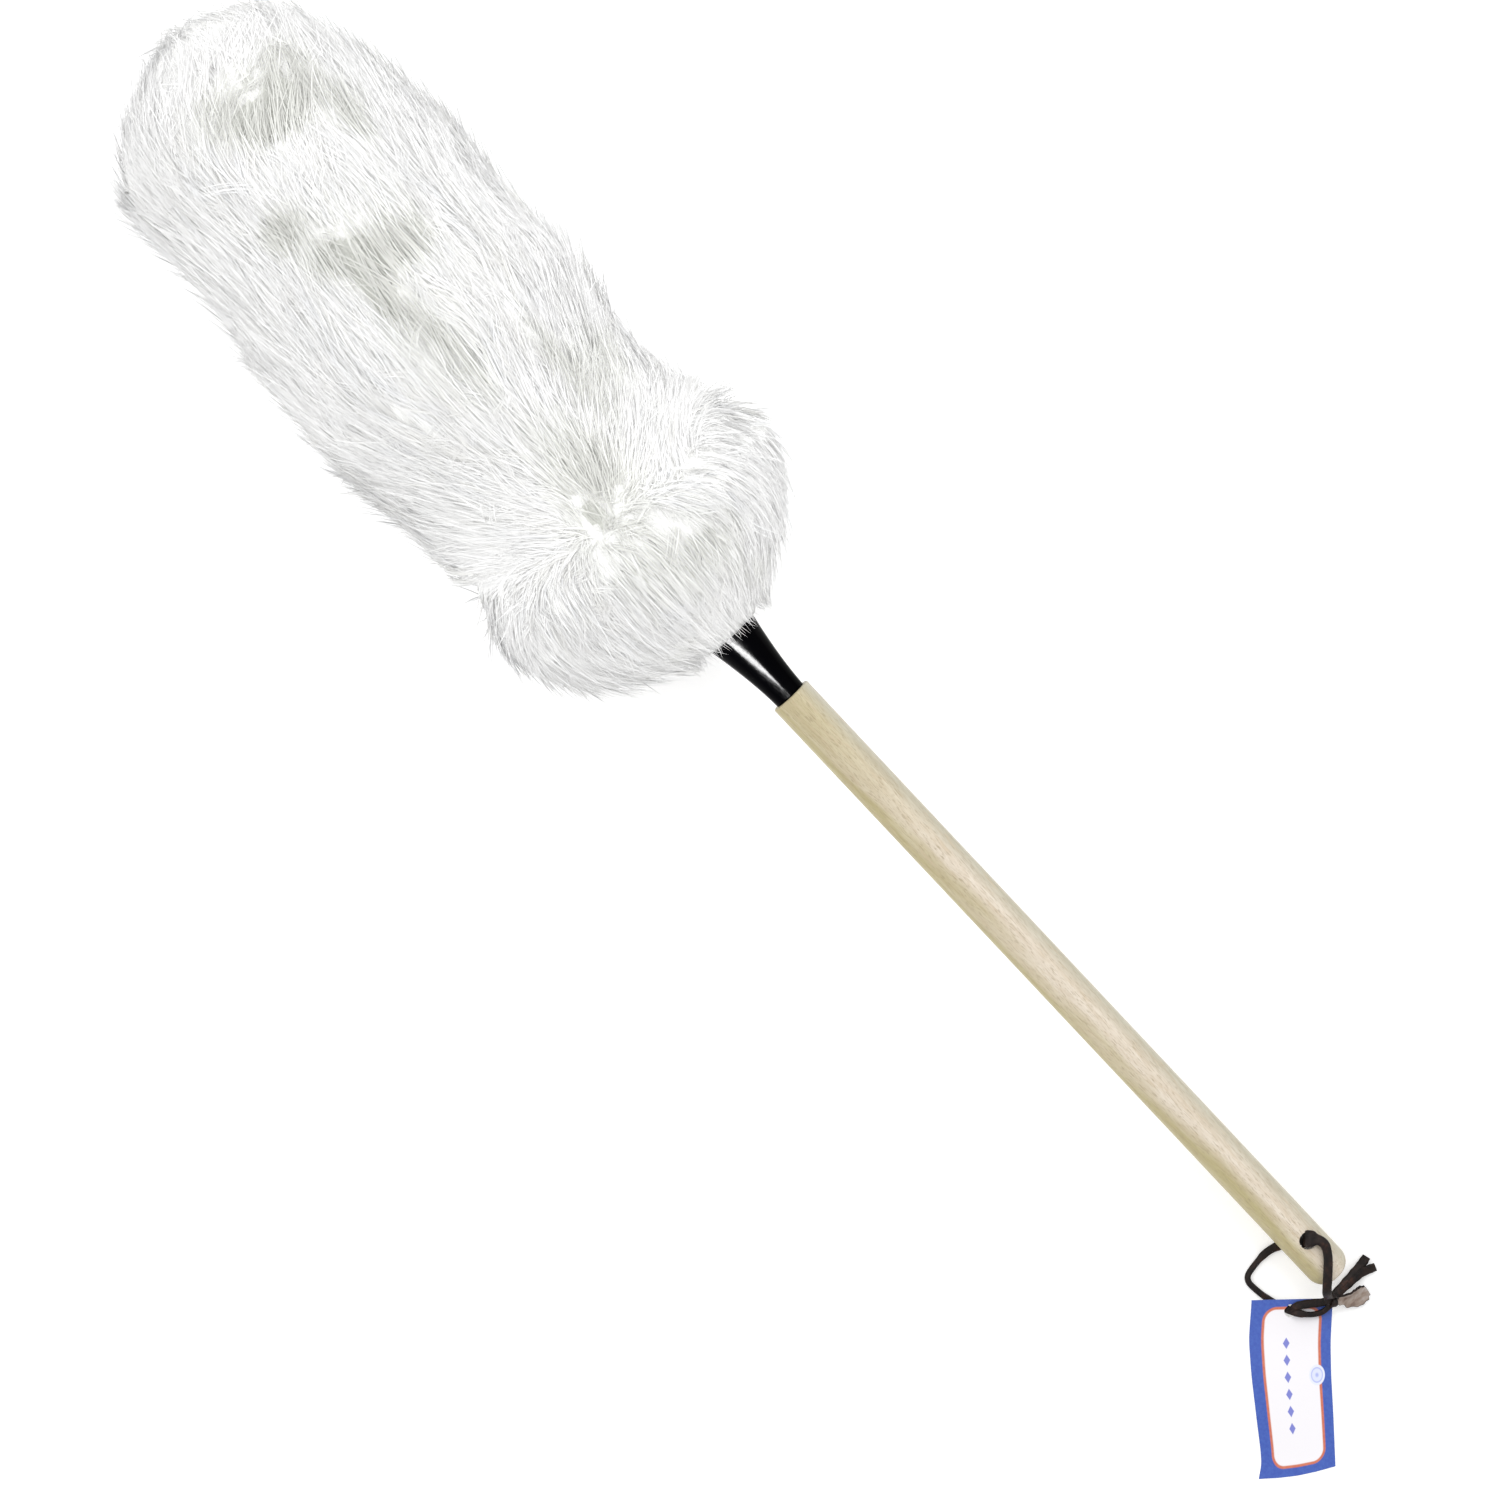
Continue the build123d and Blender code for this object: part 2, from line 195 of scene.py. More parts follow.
def pale_wood():
    """Sanded pale hardwood, pinkish beige along its middle and olive towards the collar, with long grain and short
    pores. Painted shade darkens it to olive along its +Y side and to grey olive along its -Y side.
    """
    m = Nodes("pale_wood", Coat_Weight=0.18, Coat_Roughness=0.3)
    along, side, _ = m.add("SeparateXYZ", {"Vector": m.places()}).outputs
    grain = m.noise(4, 5, 0.62, 0.6, m.on_axis(7, 120))
    fine_grain = m.noise(4, 3, 0.6, 0, m.on_axis(22, 700))
    drift = m.span(m.noise(3, 2, places=m.on_axis(5, 40)), 0.3, 0.7, -2 * MM, 2 * MM)
    streaks = m.noise(2, 3, 0.55, 0.8, m.on_axis(45, 420))
    pores = m.span(m.noise(2, 2, places=m.on_axis(130, 1500)), 0.57, 0.66, 0.0, 0.6)
    # Painted shade: seen from above, the handle darkens towards its long sides, to olive on +Y and to grey olive
    # on -Y. Towards the collar it also turns olive.
    painted_side_shade = m.span(m.math("ADD", side, drift), 1 * MM, 6 * MM)
    to_collar = m.span(along, -100 * MM, -30 * MM, 0.0, 0.75)
    colour = m.mix(m.math("MAXIMUM", painted_side_shade, to_collar), (0.76, 0.68, 0.575), (0.50, 0.44, 0.235))
    # Painted shade along the -Y side.
    colour = m.mix(m.span(side, -2.5 * MM, -7 * MM), colour, (0.51, 0.485, 0.385))
    colour = m.mix(m.span(grain, 0.32, 0.68, 0.75, 0.0), colour, (0.80, 0.755, 0.68), "MULTIPLY")
    colour = m.mix(m.span(streaks, 0.55, 0.68, 0.0, 0.5), colour, (0.56, 0.45, 0.30))
    colour = m.mix(m.span(fine_grain, 0.48, 0.7, 0.0, 0.45), colour, (0.70, 0.65, 0.52), "MULTIPLY")
    relief = m.math("SUBTRACT", m.math("MULTIPLY", fine_grain, 0.5), pores)
    return m.made(m.mix(pores, colour, (0.34, 0.27, 0.16)), m.span(grain, 0.3, 0.7, 0.52, 0.38),
                  (relief, 0.25, 0.0002))


def black_plastic():
    """Gloss moulded plastic with faint flow ripples and handling scratches."""
    m = Nodes("black_plastic", IOR=1.46, Specular_IOR_Level=0.02)
    scratches = m.noise(2, 2, places=m.on_axis(25, 1400))
    return m.made((0.00004, 0.00004, 0.00008), m.span(scratches, 0.4, 0.8, 0.12, 0.26),
                  (m.noise(180), 0.08, 0.0004))


def pelt_leather():
    """Tanned sheepskin with its suede side and small pits."""
    m = Nodes("pelt_leather", Roughness=0.85, Sheen_Weight=0.3)
    nap = m.noise(700, 4, 0.6)
    pits = m.add("TexVoronoi", {"Vector": m.places(), "Scale": 900.0}).outputs["Distance"]
    colour = m.ramp(m.noise(40), (0.35, (0.62, 0.53, 0.40)), (0.65, (0.78, 0.72, 0.61)))
    return m.made(m.mix(m.span(nap, 0.35, 0.7, 0.0, 0.35), colour, (0.5, 0.42, 0.31)),
                  bump=(m.math("ADD", nap, pits), 0.5, 0.0002))


def waxed_thread():
    """Twisted thread: slanting plies under a thin coat of wax."""
    m = Nodes("waxed_thread", Coat_Weight=0.2, Coat_Roughness=0.4)
    wave_inputs = {"Vector": m.places(turn=(0, 0, math.radians(35))), "Scale": 700.0, "Distortion": 1.0}
    plies = m.add("TexWave", wave_inputs).outputs["Fac"]
    return m.made(m.ramp(plies, (0.1, (0.52, 0.46, 0.34)), (0.9, (0.86, 0.82, 0.72))),
                  m.span(plies, 0.0, 1.0, 0.75, 0.5), (plies, 0.7, 0.0002))


def plain_steel():
    """Bright drawn steel with a fine brushed grain and a little dulling."""
    m = Nodes("steel", Metallic=1.0)
    brushing = m.noise(1, 3, places=m.on_axis(2500, 300))
    return m.made(m.ramp(m.noise(350), (0.35, (0.50, 0.50, 0.51)), (0.7, (0.72, 0.72, 0.73))),
                  m.span(brushing, 0.3, 0.7, 0.25, 0.45), (brushing, 0.2, 0.0001))


def lace_leather():
    """Waxed dark-brown leather, worn reddish on its high places, with a fine creased grain."""
    m = Nodes("lace_leather", Coat_Weight=0.05, Coat_Roughness=0.35, Specular_IOR_Level=0.22)
    creases = m.add("TexVoronoi", {"Vector": m.places(), "Scale": 1500.0}).outputs["Distance"]
    wear = m.noise(260, 4, 0.65)
    colour = m.ramp(wear, (0.38, (0.004, 0.0025, 0.0025)), (0.56, (0.014, 0.006, 0.004)),
                    (0.74, (0.060, 0.020, 0.010)))
    return m.made(colour, m.span(wear, 0.3, 0.75, 0.62, 0.42),
                  (m.math("ADD", m.math("MULTIPLY", creases, 0.5), wear), 0.45, 0.0003))


def lace_flesh_side():
    """The lace's suede back: greyish tan nap, browner in soft patches."""
    m = Nodes("lace_flesh_side", Roughness=0.9, Sheen_Weight=0.35, Sheen_Roughness=0.5)
    nap = m.noise(900, 4, 0.7)
    patches = m.noise(330, 3, 0.6, places=m.places((1, 0.35, 1)))
    colour = m.ramp(patches, (0.30, (0.13, 0.075, 0.055)), (0.48, (0.33, 0.26, 0.215)),
                    (0.68, (0.54, 0.49, 0.46)))
    return m.made(m.mix(m.span(nap, 0.3, 0.7, 0.0, 0.35), colour, (0.16, 0.11, 0.085)),
                  bump=(nap, 0.6, 0.0002))


# ---- meshes
def new_object(name, data):
    piece = bpy.data.objects.new(name, data)
    scene.collection.objects.link(piece)
    return piece


def mesh_piece(name, vertices, faces, smooth=True, materials=(), face_materials=None, uvs=None):
    """A mesh object from arrays. uvs are per vertex."""
    mesh = bpy.data.meshes.new(name)
    mesh.from_pydata([tuple(v) for v in vertices], [], [tuple(int(i) for i in f) for f in faces])
    for material in materials:
        mesh.materials.append(material)
    mesh.polygons.foreach_set("use_smooth", [smooth] * len(mesh.polygons))
    if face_materials is not None:
        mesh.polygons.foreach_set("material_index", list(face_materials))
    if uvs is not None:
        layer = mesh.uv_layers.new(name="UVMap")
        corners = np.zeros(len(mesh.loops), np.int32)
        mesh.loops.foreach_get("vertex_index", corners)
        layer.data.foreach_set("uv", np.asarray(uvs, np.float32)[corners].ravel())
    mesh.update()
    return new_object(name, mesh)


def face_outwards(mesh):
    """Turns a closed mesh's faces to look outwards."""
    work = bmesh.new()
    work.from_mesh(mesh)
    bmesh.ops.recalc_face_normals(work, faces=work.faces)
    work.to_mesh(mesh)
    work.free()


def stands_in(piece, slot, body, *replaced):
    """Hangs a piece on the body that it rides on and hides the frame nodes that it replaces. slot, the name of its
    finish, is not used.
    """
    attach(piece, body)
    if replaced:
        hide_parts(*replaced)


def unit(vectors):
    lengths = np.linalg.norm(vectors, axis=-1, keepdims=True)
    return vectors / np.maximum(lengths, 1e-12)


def smooth_line(name, control_points):
    """The smooth line of a route: a NURBS spline with those control points, read back as points."""
    curve = bpy.data.curves.new(name, "CURVE")
    curve.dimensions = "3D"
    curve.resolution_u = 12
    spline = curve.splines.new("NURBS")
    spline.points.add(len(control_points) - 1)
    for point, place in zip(spline.points, control_points):
        point.co = (*place, 1.0)
    spline.order_u = 3
    spline.use_endpoint_u = True
    holder = new_object(name, curve)
    line_mesh = bpy.data.meshes.new_from_object(holder)
    line = np.array([v.co for v in line_mesh.vertices])
    bpy.data.objects.remove(holder)
    bpy.data.meshes.remove(line_mesh)
    return line


def near_values(line, places, values, sharpness=4, nearest=0.2 * MM):
    """Values given at places, blended for each point of a line by nearness."""
    away = np.linalg.norm(line[:, None] - np.asarray(places)[None], axis=2)
    weights = 1.0 / (away ** sharpness + nearest ** sharpness)
    return (weights / weights.sum(1, keepdims=True)) @ np.asarray(values, float)


def tube_faces(rings, around):
    """The four-sided faces that join rings of points, each ring to the next."""
    return [(i * around + j, i * around + k, (i + 1) * around + k, (i + 1) * around + j)
            for i in range(rings - 1) for j, k in ring_sides(around)]


def ring_sides(around):
    """The two ends of each side of a ring of points."""
    return [(j, (j + 1) % around) for j in range(around)]


# A flat strap's section, (across, thick) from -1 to 1, with rounded edges: the broad face, then the back.
STRAP_QUARTER = [(1.0, 0.0), (0.93, 0.72), (0.62, 1.0), (0.2, 1.0)]
STRAP_FACE = STRAP_QUARTER + [(-x, y) for x, y in reversed(STRAP_QUARTER)]
STRAP_SECTION = np.array(STRAP_FACE + [(x, -y) for x, y in reversed(STRAP_FACE[1:-1])])
RIPPLE_WAVES = 4.5  # of its edges, in a strap's whole length


def strap(name, line, facing, halves, thickness, materials, ripple=0.0, cups=None, dark_corners=2):
    """A flat leather strap along a line, kept above the floor.

    facing is the direction that its broad face looks to, halves its half width, and cups how far its edges
    curl up, each for every point of the line. ripple waves its edges. The last material is for its back and
    ends, and for the broad face's last dark_corners.
    """
    ahead = unit(np.gradient(line, axis=0))
    facing = unit(facing - (facing * ahead).sum(1, keepdims=True) * ahead)
    across = np.cross(ahead, facing)
    count = len(STRAP_SECTION)
    waves = 1.0 + ripple * np.sin(np.linspace(0, 2 * math.pi * RIPPLE_WAVES, len(line)))
    lift = STRAP_SECTION[None, :, 1] * thickness / 2
    if cups is not None:
        lift = lift + cups[:, None] * STRAP_SECTION[None, :, 0] ** 2
    rings = (line[:, None]
             + across[:, None] * (STRAP_SECTION[None, :, :1] * (halves * waves)[:, None, None])
             + facing[:, None] * lift[..., None])
    vertices = rings.reshape(-1, 3)
    vertices[:, 2] = np.maximum(vertices[:, 2], FLOOR_CLEARANCE)
    last = (len(line) - 1) * count
    faces = tube_faces(len(line), count) + [tuple(range(count)), tuple(range(last, last + count))]
    dark = len(materials) - 1
    ring_kinds = [0 if 1 <= j < len(STRAP_FACE) - dark_corners else dark for j in range(count)]
    kinds = ring_kinds * (len(line) - 1) + [dark, dark]
    piece = mesh_piece(name, vertices, faces, materials=materials, face_materials=kinds)
    face_outwards(piece.data)
    return piece


# ---- hanging lace
LACE_THICKNESS = 1.5
LIES_AT = 1.12  # the lace's middle above the floor where it lies on it
# Control points in millimetres from the hanging hole, as in the CAD route, then the side that the broad face
# looks to, and the strap's half width there.
LACE_ROUTE = (
    ((-22.4, 6.7, 6.6), (-0.8, 0.6, 0.3), 1.5),  # in the knot
    ((-21.2, 7.7, 12.2), (-0.8, 0.6, 0.1), 1.6),  # up past the handle's domed end
    ((-18.9, 6.5, 17.6), (-0.6, 0.5, 0.6), 1.7),
    ((-14.6, 2, 19.1), (-0.1, 0.25, 1), 1.75),  # over the handle's crown
    ((-9.4, -3.2, 19), (0, -0.4, 0.9), 1.75),
    ((-4.6, -5.4, 19.3), (0.1, -0.4, 0.9), 1.9),
    ((0.4, -1.6, 20.5), (0.5, 0.4, 0.8), 3),  # down into the hanging hole
    ((0.2, -0.4, 13.6), (0.75, 0.65, 0), 3),
    ((-0.3, 0.1, 7.4), (0.6, 0.8, 0), 1.7),
    ((0.1, 0.6, LIES_AT), (0.2, 0.3, 1), 1.7),  # out of it, under the handle
    ((3.6, 6.2, LIES_AT), (0, 0, 1), 1.7),
    ((5.6, 12.2, LIES_AT), (0.2, 0, 1), 1.5),
    ((5, 19, LIES_AT), (0.45, 0.1, 1), 1.15),
    ((3.6, 25, LIES_AT), (0.4, 0.35, 1), 1.1),  # the loop's outer corner
    ((-3.4, 24.6, LIES_AT), (0.1, 0.45, 1), 1.1),
    ((-9.2, 23.4, LIES_AT), (0, 0.2, 1), 1.3),
    ((-14.4, 21.5, LIES_AT), (0.3, 0.1, 1), 1.5),  # under the tag, up through its hole
    ((-17.8, 19.9, 4.7), (0.4, 0.2, 1), 1.45),
    ((-22.2, 16.4, 4.9), (-0.1, 0.1, 1), 1),  # over the tag's face
    ((-24.9, 11.4, 5.1), (-0.2, 0.1, 1), 1),
    ((-23.8, 7.9, 5.8), (-0.2, 0.3, 1), 1.3),  # in the knot
)
KNOT_CENTRE = (-23.1, 7.2, 6.3)

leather = lace_leather()
flesh_side = lace_flesh_side()


def laid_strap(name, route, thickness, materials, **shape):
    """A strap on the smooth line of (place, facing, half width, curl) rows, in millimetres from the hole."""
    points = [from_hole(*row[0]) for row in route]
    line = smooth_line(name + "_line", points)
    facing = near_values(line, points, [row[1] for row in route])
    halves = near_values(line, points, [row[2] * MM for row in route])
    if len(route[0]) > 3:
        shape["cups"] = near_values(line, points, [row[3] * MM for row in route])
    return strap(name, line, facing, halves, thickness * MM, materials, **shape), line


lace, lace_line = laid_strap("leather_lace", LACE_ROUTE, LACE_THICKNESS, [leather], ripple=0.03)
stands_in(lace, "lace_leather", "lace", "hang_lace")


# ---- the lace's knot, ends and second turn
KNOT_SCALE = 0.74  # of a trefoil three units in radius, in millimetres
KNOT_RISE = 1.6
KNOT_POINTS = 96
KNOT_HALF_WIDTH = 1.15
KNOT_THICKNESS = 1.15
KNOT_CORE = 1.7
KNOT_FACING = (1.0, 1.0, 2.2)  # how much more the strap looks up or down than to the sides


def overhand_knot():
    """The strap wound through itself in a tight trefoil, about a small core of the same leather."""
    turn = np.linspace(0, 2 * math.pi, KNOT_POINTS)
    trefoil = np.stack([np.sin(turn) + 2 * np.sin(2 * turn), np.cos(turn) - 2 * np.cos(2 * turn),
                        -KNOT_RISE / KNOT_SCALE * np.sin(3 * turn)], axis=1)
    centre = np.array(from_hole(*KNOT_CENTRE))
    line = centre + trefoil * KNOT_SCALE * MM
    facing = unit(trefoil * KNOT_FACING)
    halves = np.full(KNOT_POINTS, KNOT_HALF_WIDTH * MM)
    knot = strap("lace_overhand_knot", line, facing, halves, KNOT_THICKNESS * MM, [leather])
    work = bmesh.new()
    work.from_mesh(knot.data)
    made = bmesh.ops.create_icosphere(work, subdivisions=3, radius=KNOT_CORE * MM)
    bmesh.ops.translate(work, verts=made["verts"], vec=Vector(centre))
    for face in work.faces:
        face.smooth = True
    work.to_mesh(knot.data)
    work.free()
    return knot


DARK_PRONG_ROUTES = (  # the slit end: two straps edge to edge that part near their tips
    (((-23.4, 6.4, 6), (-0.2, 0.3, 1), 1), ((-23.5, 2, 4.9), (-0.1, 0.3, 1), 1.15),
     ((-23.6, -3, 3.2), (-0.2, 0.2, 1), 1.3), ((-23.7, -7, 2.2), (-0.3, 0.2, 1), 1.5),
     ((-24.4, -10, 1.8), (-0.5, 0.1, 1), 1.8), ((-25.6, -12.7, 2.2), (-0.6, 0.5, 1), 1.7)),
    (((-22, 6.2, 6), (0.2, 0.3, 1), 1), ((-21.9, 2, 4.8), (0.1, 0.3, 1), 1.15),
     ((-21.7, -3, 3), (0.1, 0.2, 1), 1.3), ((-21.5, -7.2, 1.9), (0.2, 0.2, 1), 1.5),
     ((-21.5, -10.2, 1.3), (0.3, 0.1, 1), 1.8), ((-20.7, -12.9, 1.5), (0.4, 0.3, 1), 1.6)))
PALE_TAIL_ROUTE = (  # the curled end that shows its suede back: the last value is its edges' curl
    ((-24.2, 6.6, 5.4), (-0.2, 0.3, 1), 1.1, 0), ((-25.4, 4.6, 4.4), (-0.3, 0.3, 1), 2.1, 0.6),
    ((-27.2, 2.2, 3.1), (-0.4, 0.4, 1), 3.2, 1.5), ((-28.4, -0.4, 2.3), (-0.3, 0.3, 1), 3.6, 2),
    ((-29, -2.8, 1.9), (-0.2, 0.2, 1), 3.3, 2), ((-29.3, -4.9, 2.2), (-0.1, 0.5, 1), 2.2, 1.4))
TAG_TURN_ROUTE = (
    ((-16.2, 20.6, 2.6), (0.8, -0.2, 0.5), 1.3), ((-15.6, 19.3, 4.4), (0.4, -0.2, 1), 1.4),
    ((-16.8, 16.6, 4.8), (0.2, 0, 1), 1.55), ((-19.2, 13.3, 4.9), (0.1, 0, 1), 1.6),
    ((-21.6, 10.2, 5.3), (0, 0, 1), 1.5), ((-22.9, 7.8, 5.9), (-0.2, 0.2, 1), 1.3))

knot = overhand_knot()
prongs = [laid_strap(f"dark_lace_end_{i + 1}", route, 1.25, [leather], ripple=0.05)[0]
          for i, route in enumerate(DARK_PRONG_ROUTES)]
pale_end = laid_strap("pale_lace_end", PALE_TAIL_ROUTE, 1.0, [flesh_side, leather], ripple=0.03,
                      dark_corners=3)[0]
second_turn = laid_strap("lace_second_turn", TAG_TURN_ROUTE, 1.2, [leather], ripple=0.03)[0]
stands_in(knot, "lace_leather", "lace", "lace_knot")
stands_in(prongs[0], "lace_leather", "lace", "dark_lace_tail")
stands_in(prongs[1], "lace_leather", "lace")
stands_in(pale_end, "lace_flesh_side", "lace", "pale_lace_tail")
stands_in(second_turn, "lace_leather", "lace", "lace_tag_turn")


# ---- card tag
TAG_CORNERS = ((-3.5, 28.4), (-23.2, 6.4), (-52.7, 71.3), (-68.6, 47.6))  # upper pair, left first, lower pair
TAG_HOLE = (-16.1, 20.7)
TAG_HOLE_RADIUS = 2.4
TAG_UNDERSIDE = 2.75  # at the hole
TAG_SLOPE = math.radians(2.44)
TAG_THICKNESS = 0.35
TAG_WIDTH = 30.0
TAG_HEIGHT = 64.0
TAG_STEPS = (24, 48)  # facets across and down
HOLE_STEPS = 28
HOLE_MARGIN = 0.7  # the card's own facets stay this far from its hole
CURL = 2.4  # how far the card bows up off its plane
CURL_STRETCH = (0.1, 0.96)  # of its height
RIGHT_CURL = 0.35  # the right edge's share of that bow
BOW_STEPS = 201
BOW_BLUR = 10  # of those steps, to each side
LEFT_BOW = ((0, 0), (0.22, -1.6), (0.42, -1.2), (0.66, 0.1), (0.86, 1.35), (0.95, 1.3), (1, -0.2))
RIGHT_BOW = ((0, 0), (0.26, -1.1), (0.45, -1.1), (0.7, -0.5), (1, 0))
LOWER_BOW = ((0, 0), (0.25, 0.8), (0.5, 1.15), (0.75, 0.8), (1, 0))
CARD_EDGE_ANGLE = math.radians(40)
HOLE_CUT = 0.93  # triangles nearer to the hole's middle than this share of its radius are left out
WHITE_PANEL = (5.4, 25.3, 3.7, 60.0)  # left, right, top, bottom on the card, in millimetres
PANEL_CORNER = 4.2
RULE_WIDTH = 1.0
EMBLEM = (24.6, 28.6)
EMBLEM_RADII = (3.1, 4.0)
ORNAMENT_X = 13.6
LOZENGE_PITCH = 6.2
LOZENGE_HALF = (1.25, 2.1)


def bow(rows, where):
    """An edge's bow at places along it, smooth through (place, offset) rows."""
    places, offsets = zip(*rows)
    steps = np.linspace(0, 1, BOW_STEPS)
    straight = np.pad(np.interp(steps, places, offsets), BOW_BLUR, mode="edge")
    smooth = np.convolve(straight, np.full(2 * BOW_BLUR + 1, 1 / (2 * BOW_BLUR + 1)), mode="valid")
    return np.interp(where, steps, smooth)


def on_card(w, h):
    """Places on the card's underside, w from its left edge and h from its upper edge, both 0 to 1."""
    upper_left, upper_right, lower_left, lower_right = np.array(TAG_CORNERS)
    w = np.asarray(w, float)[..., None]
    h = np.asarray(h, float)[..., None]
    flat = (1 - h) * ((1 - w) * upper_left + w * upper_right) + h * ((1 - w) * lower_left + w * lower_right)
    rightwards = unit(upper_right - upper_left)
    downwards = unit(lower_left - upper_left)
    flat = flat + rightwards * ((1 - w) * bow(LEFT_BOW, h) + w * bow(RIGHT_BOW, h))
    flat = flat + downwards * bow(LOWER_BOW, w) * h ** 3
    fall = ((flat - np.array(TAG_HOLE)) * downwards).sum(-1) * math.tan(TAG_SLOPE)
    share = np.interp(h[..., 0], CURL_STRETCH, (0, 1))
    bowed = CURL * np.sin(math.pi * share) ** 1.5
    lift = bowed * (RIGHT_CURL + (1 - RIGHT_CURL) * (1 - w[..., 0]) ** 1.5)
    return np.stack([flat[..., 0], flat[..., 1], TAG_UNDERSIDE - fall + lift], axis=-1)


def card_place_of(x, y):
    """The (w, h) of a place seen from above, by a few steps of Newton's method."""
    w, h, step = 0.5, 0.3, 1e-4
    for _ in range(12):
        here = on_card(w, h)[:2]
        slope = np.array([on_card(w + step, h)[:2] - here, on_card(w, h + step)[:2] - here]).T / step
        w, h = np.array([w, h]) + np.linalg.solve(slope, np.array([x, y]) - here)
    return w, h


def hang_card():
    """The curled card, with its hole, as a thin closed solid: printed above, plain below and at its edges."""
    across, down = TAG_STEPS
    rim = [(i / across, 0) for i in range(across)] + [(1, j / down) for j in range(down)]
    rim += [(1 - w, 1 - h) for w, h in rim]
    turns = np.arange(HOLE_STEPS) * 2 * math.pi / HOLE_STEPS
    hole = [card_place_of(*spot)
            for spot in TAG_HOLE + TAG_HOLE_RADIUS * np.stack([np.cos(turns), np.sin(turns)], axis=1)]
    centre = card_place_of(*TAG_HOLE)
    size = np.array([TAG_WIDTH, TAG_HEIGHT])

    def from_centre(place):
        return np.linalg.norm((np.array(place) - centre) * size)

    inner = [(i / across, j / down) for i in range(1, across) for j in range(1, down)]
    inner = [place for place in inner if from_centre(place) > TAG_HOLE_RADIUS + HOLE_MARGIN]
    loops = ring_sides(len(rim)) + [(len(rim) + i, len(rim) + k) for i, k in ring_sides(HOLE_STEPS)]
    flat = [Vector(np.array(place) * size) for place in rim + hole + inner]
    points, _, triangles, *_ = delaunay_2d_cdt(flat, loops, [], 0, 1e-6)
    spots = np.array(points) / size
    triangles = [t for t in triangles if from_centre(spots[list(t)].mean(0)) > HOLE_CUT * TAG_HOLE_RADIUS]
    below = on_card(spots[:, 0], spots[:, 1])
    above = below + (0, 0, TAG_THICKNESS)
    count = len(spots)
    sides = dict.fromkeys(side for t in triangles for side in zip(t, t[1:] + t[:1]))
    edges = [(a, b, count + b, count + a) for a, b in sides if (b, a) not in sides]
    faces = triangles + [[count + i for i in reversed(t)] for t in triangles] + edges
    kinds = [0] * len(triangles) + [1] * (len(triangles) + len(edges))
    vertices = np.array([from_hole(*p) for p in np.concatenate([above, below])])
    vertices[:, 2] = np.maximum(vertices[:, 2], FLOOR_CLEARANCE)
    pulp = grained("card_pulp", (0.70, 0.69, 0.66), (0.86, 0.85, 0.82), (0.3, 0.0001), (1400, 4, 0.7),
                   Roughness=0.9)
    card = mesh_piece("card_tag", vertices, faces, materials=[printed_card(), pulp],
                      face_materials=kinds, uvs=np.concatenate([spots, spots]))
    face_outwards(card.data)
    card.data.set_sharp_from_angle(angle=CARD_EDGE_ANGLE)
    return card


def printed_card():
    """Printed satin card: a blue border, a red rule, a white panel, a plain pale medallion and lozenges."""
    m = Nodes("printed_card", Coat_Weight=0.25, Coat_Roughness=0.25)
    across, down, _ = m.add("SeparateXYZ", {"Vector": m.add("TexCoord").outputs["UV"]}).outputs
    x = m.math("MULTIPLY", across, TAG_WIDTH)
    y = m.math("MULTIPLY", down, TAG_HEIGHT)

    def beyond(value, middle, half):
        return m.math("SUBTRACT", m.math("ABSOLUTE", m.math("SUBTRACT", value, middle)), half)

    left, right, top, bottom = WHITE_PANEL
    over_x = beyond(x, (left + right) / 2, (right - left) / 2 - PANEL_CORNER)
    over_y = beyond(y, (top + bottom) / 2, (bottom - top) / 2 - PANEL_CORNER)
    corner = m.length(m.math("MAXIMUM", over_x, 0.0), m.math("MAXIMUM", over_y, 0.0))
    inside = m.math("MINIMUM", m.math("MAXIMUM", over_x, over_y), 0.0)
    distance = m.math("SUBTRACT", m.math("ADD", corner, inside), PANEL_CORNER)
    ink = m.noise(900)
    blue = m.mix(m.span(ink, 0.35, 0.7, 0.0, 0.5), (0.033, 0.085, 0.42), (0.065, 0.15, 0.52))
    red = m.mix(ink, (0.50, 0.085, 0.05), (0.72, 0.24, 0.13))
    colour = m.mix(m.span(distance, RULE_WIDTH - 0.15, RULE_WIDTH + 0.15), red, blue)
    colour = m.mix(m.span(distance, -0.2, 0.2), (0.88, 0.86, 0.89), colour)
    row = m.math("PINGPONG", m.math("SUBTRACT", y, top + LOZENGE_PITCH), LOZENGE_PITCH / 2)
    from_row = m.math("DIVIDE", row, LOZENGE_HALF[1])
    from_middle = m.math("DIVIDE", beyond(x, ORNAMENT_X, 0.0), LOZENGE_HALF[0])
    lozenge = m.span(m.math("ADD", from_middle, from_row), 0.9, 1.1)
    past_rows = m.span(beyond(y, (top + bottom) / 2, (bottom - top) / 2 - 1.5 * LOZENGE_PITCH), 0.0, 0.1)
    colour = m.mix(m.math("MAXIMUM", lozenge, past_rows), (0.20, 0.22, 0.62), colour)
    radius = m.length(*[m.math("DIVIDE", m.math("SUBTRACT", value, middle), size)
                        for value, middle, size in zip((x, y), EMBLEM, EMBLEM_RADII)])
    ring, pale = (0.42, 0.47, 0.82), (0.70, 0.74, 0.93)
    medallion = m.ramp(radius, (0.10, ring), (0.28, pale), (0.55, pale), (0.68, ring),
                       (0.78, (0.78, 0.81, 0.95)))
    colour = m.mix(m.span(radius, 0.93, 1.0), medallion, colour)
    return m.made(colour, m.span(ink, 0.3, 0.7, 0.5, 0.34), (ink, 0.12, 0.0001))


card = hang_card()
stands_in(card, "printed_card", "tag", "hang_tag")


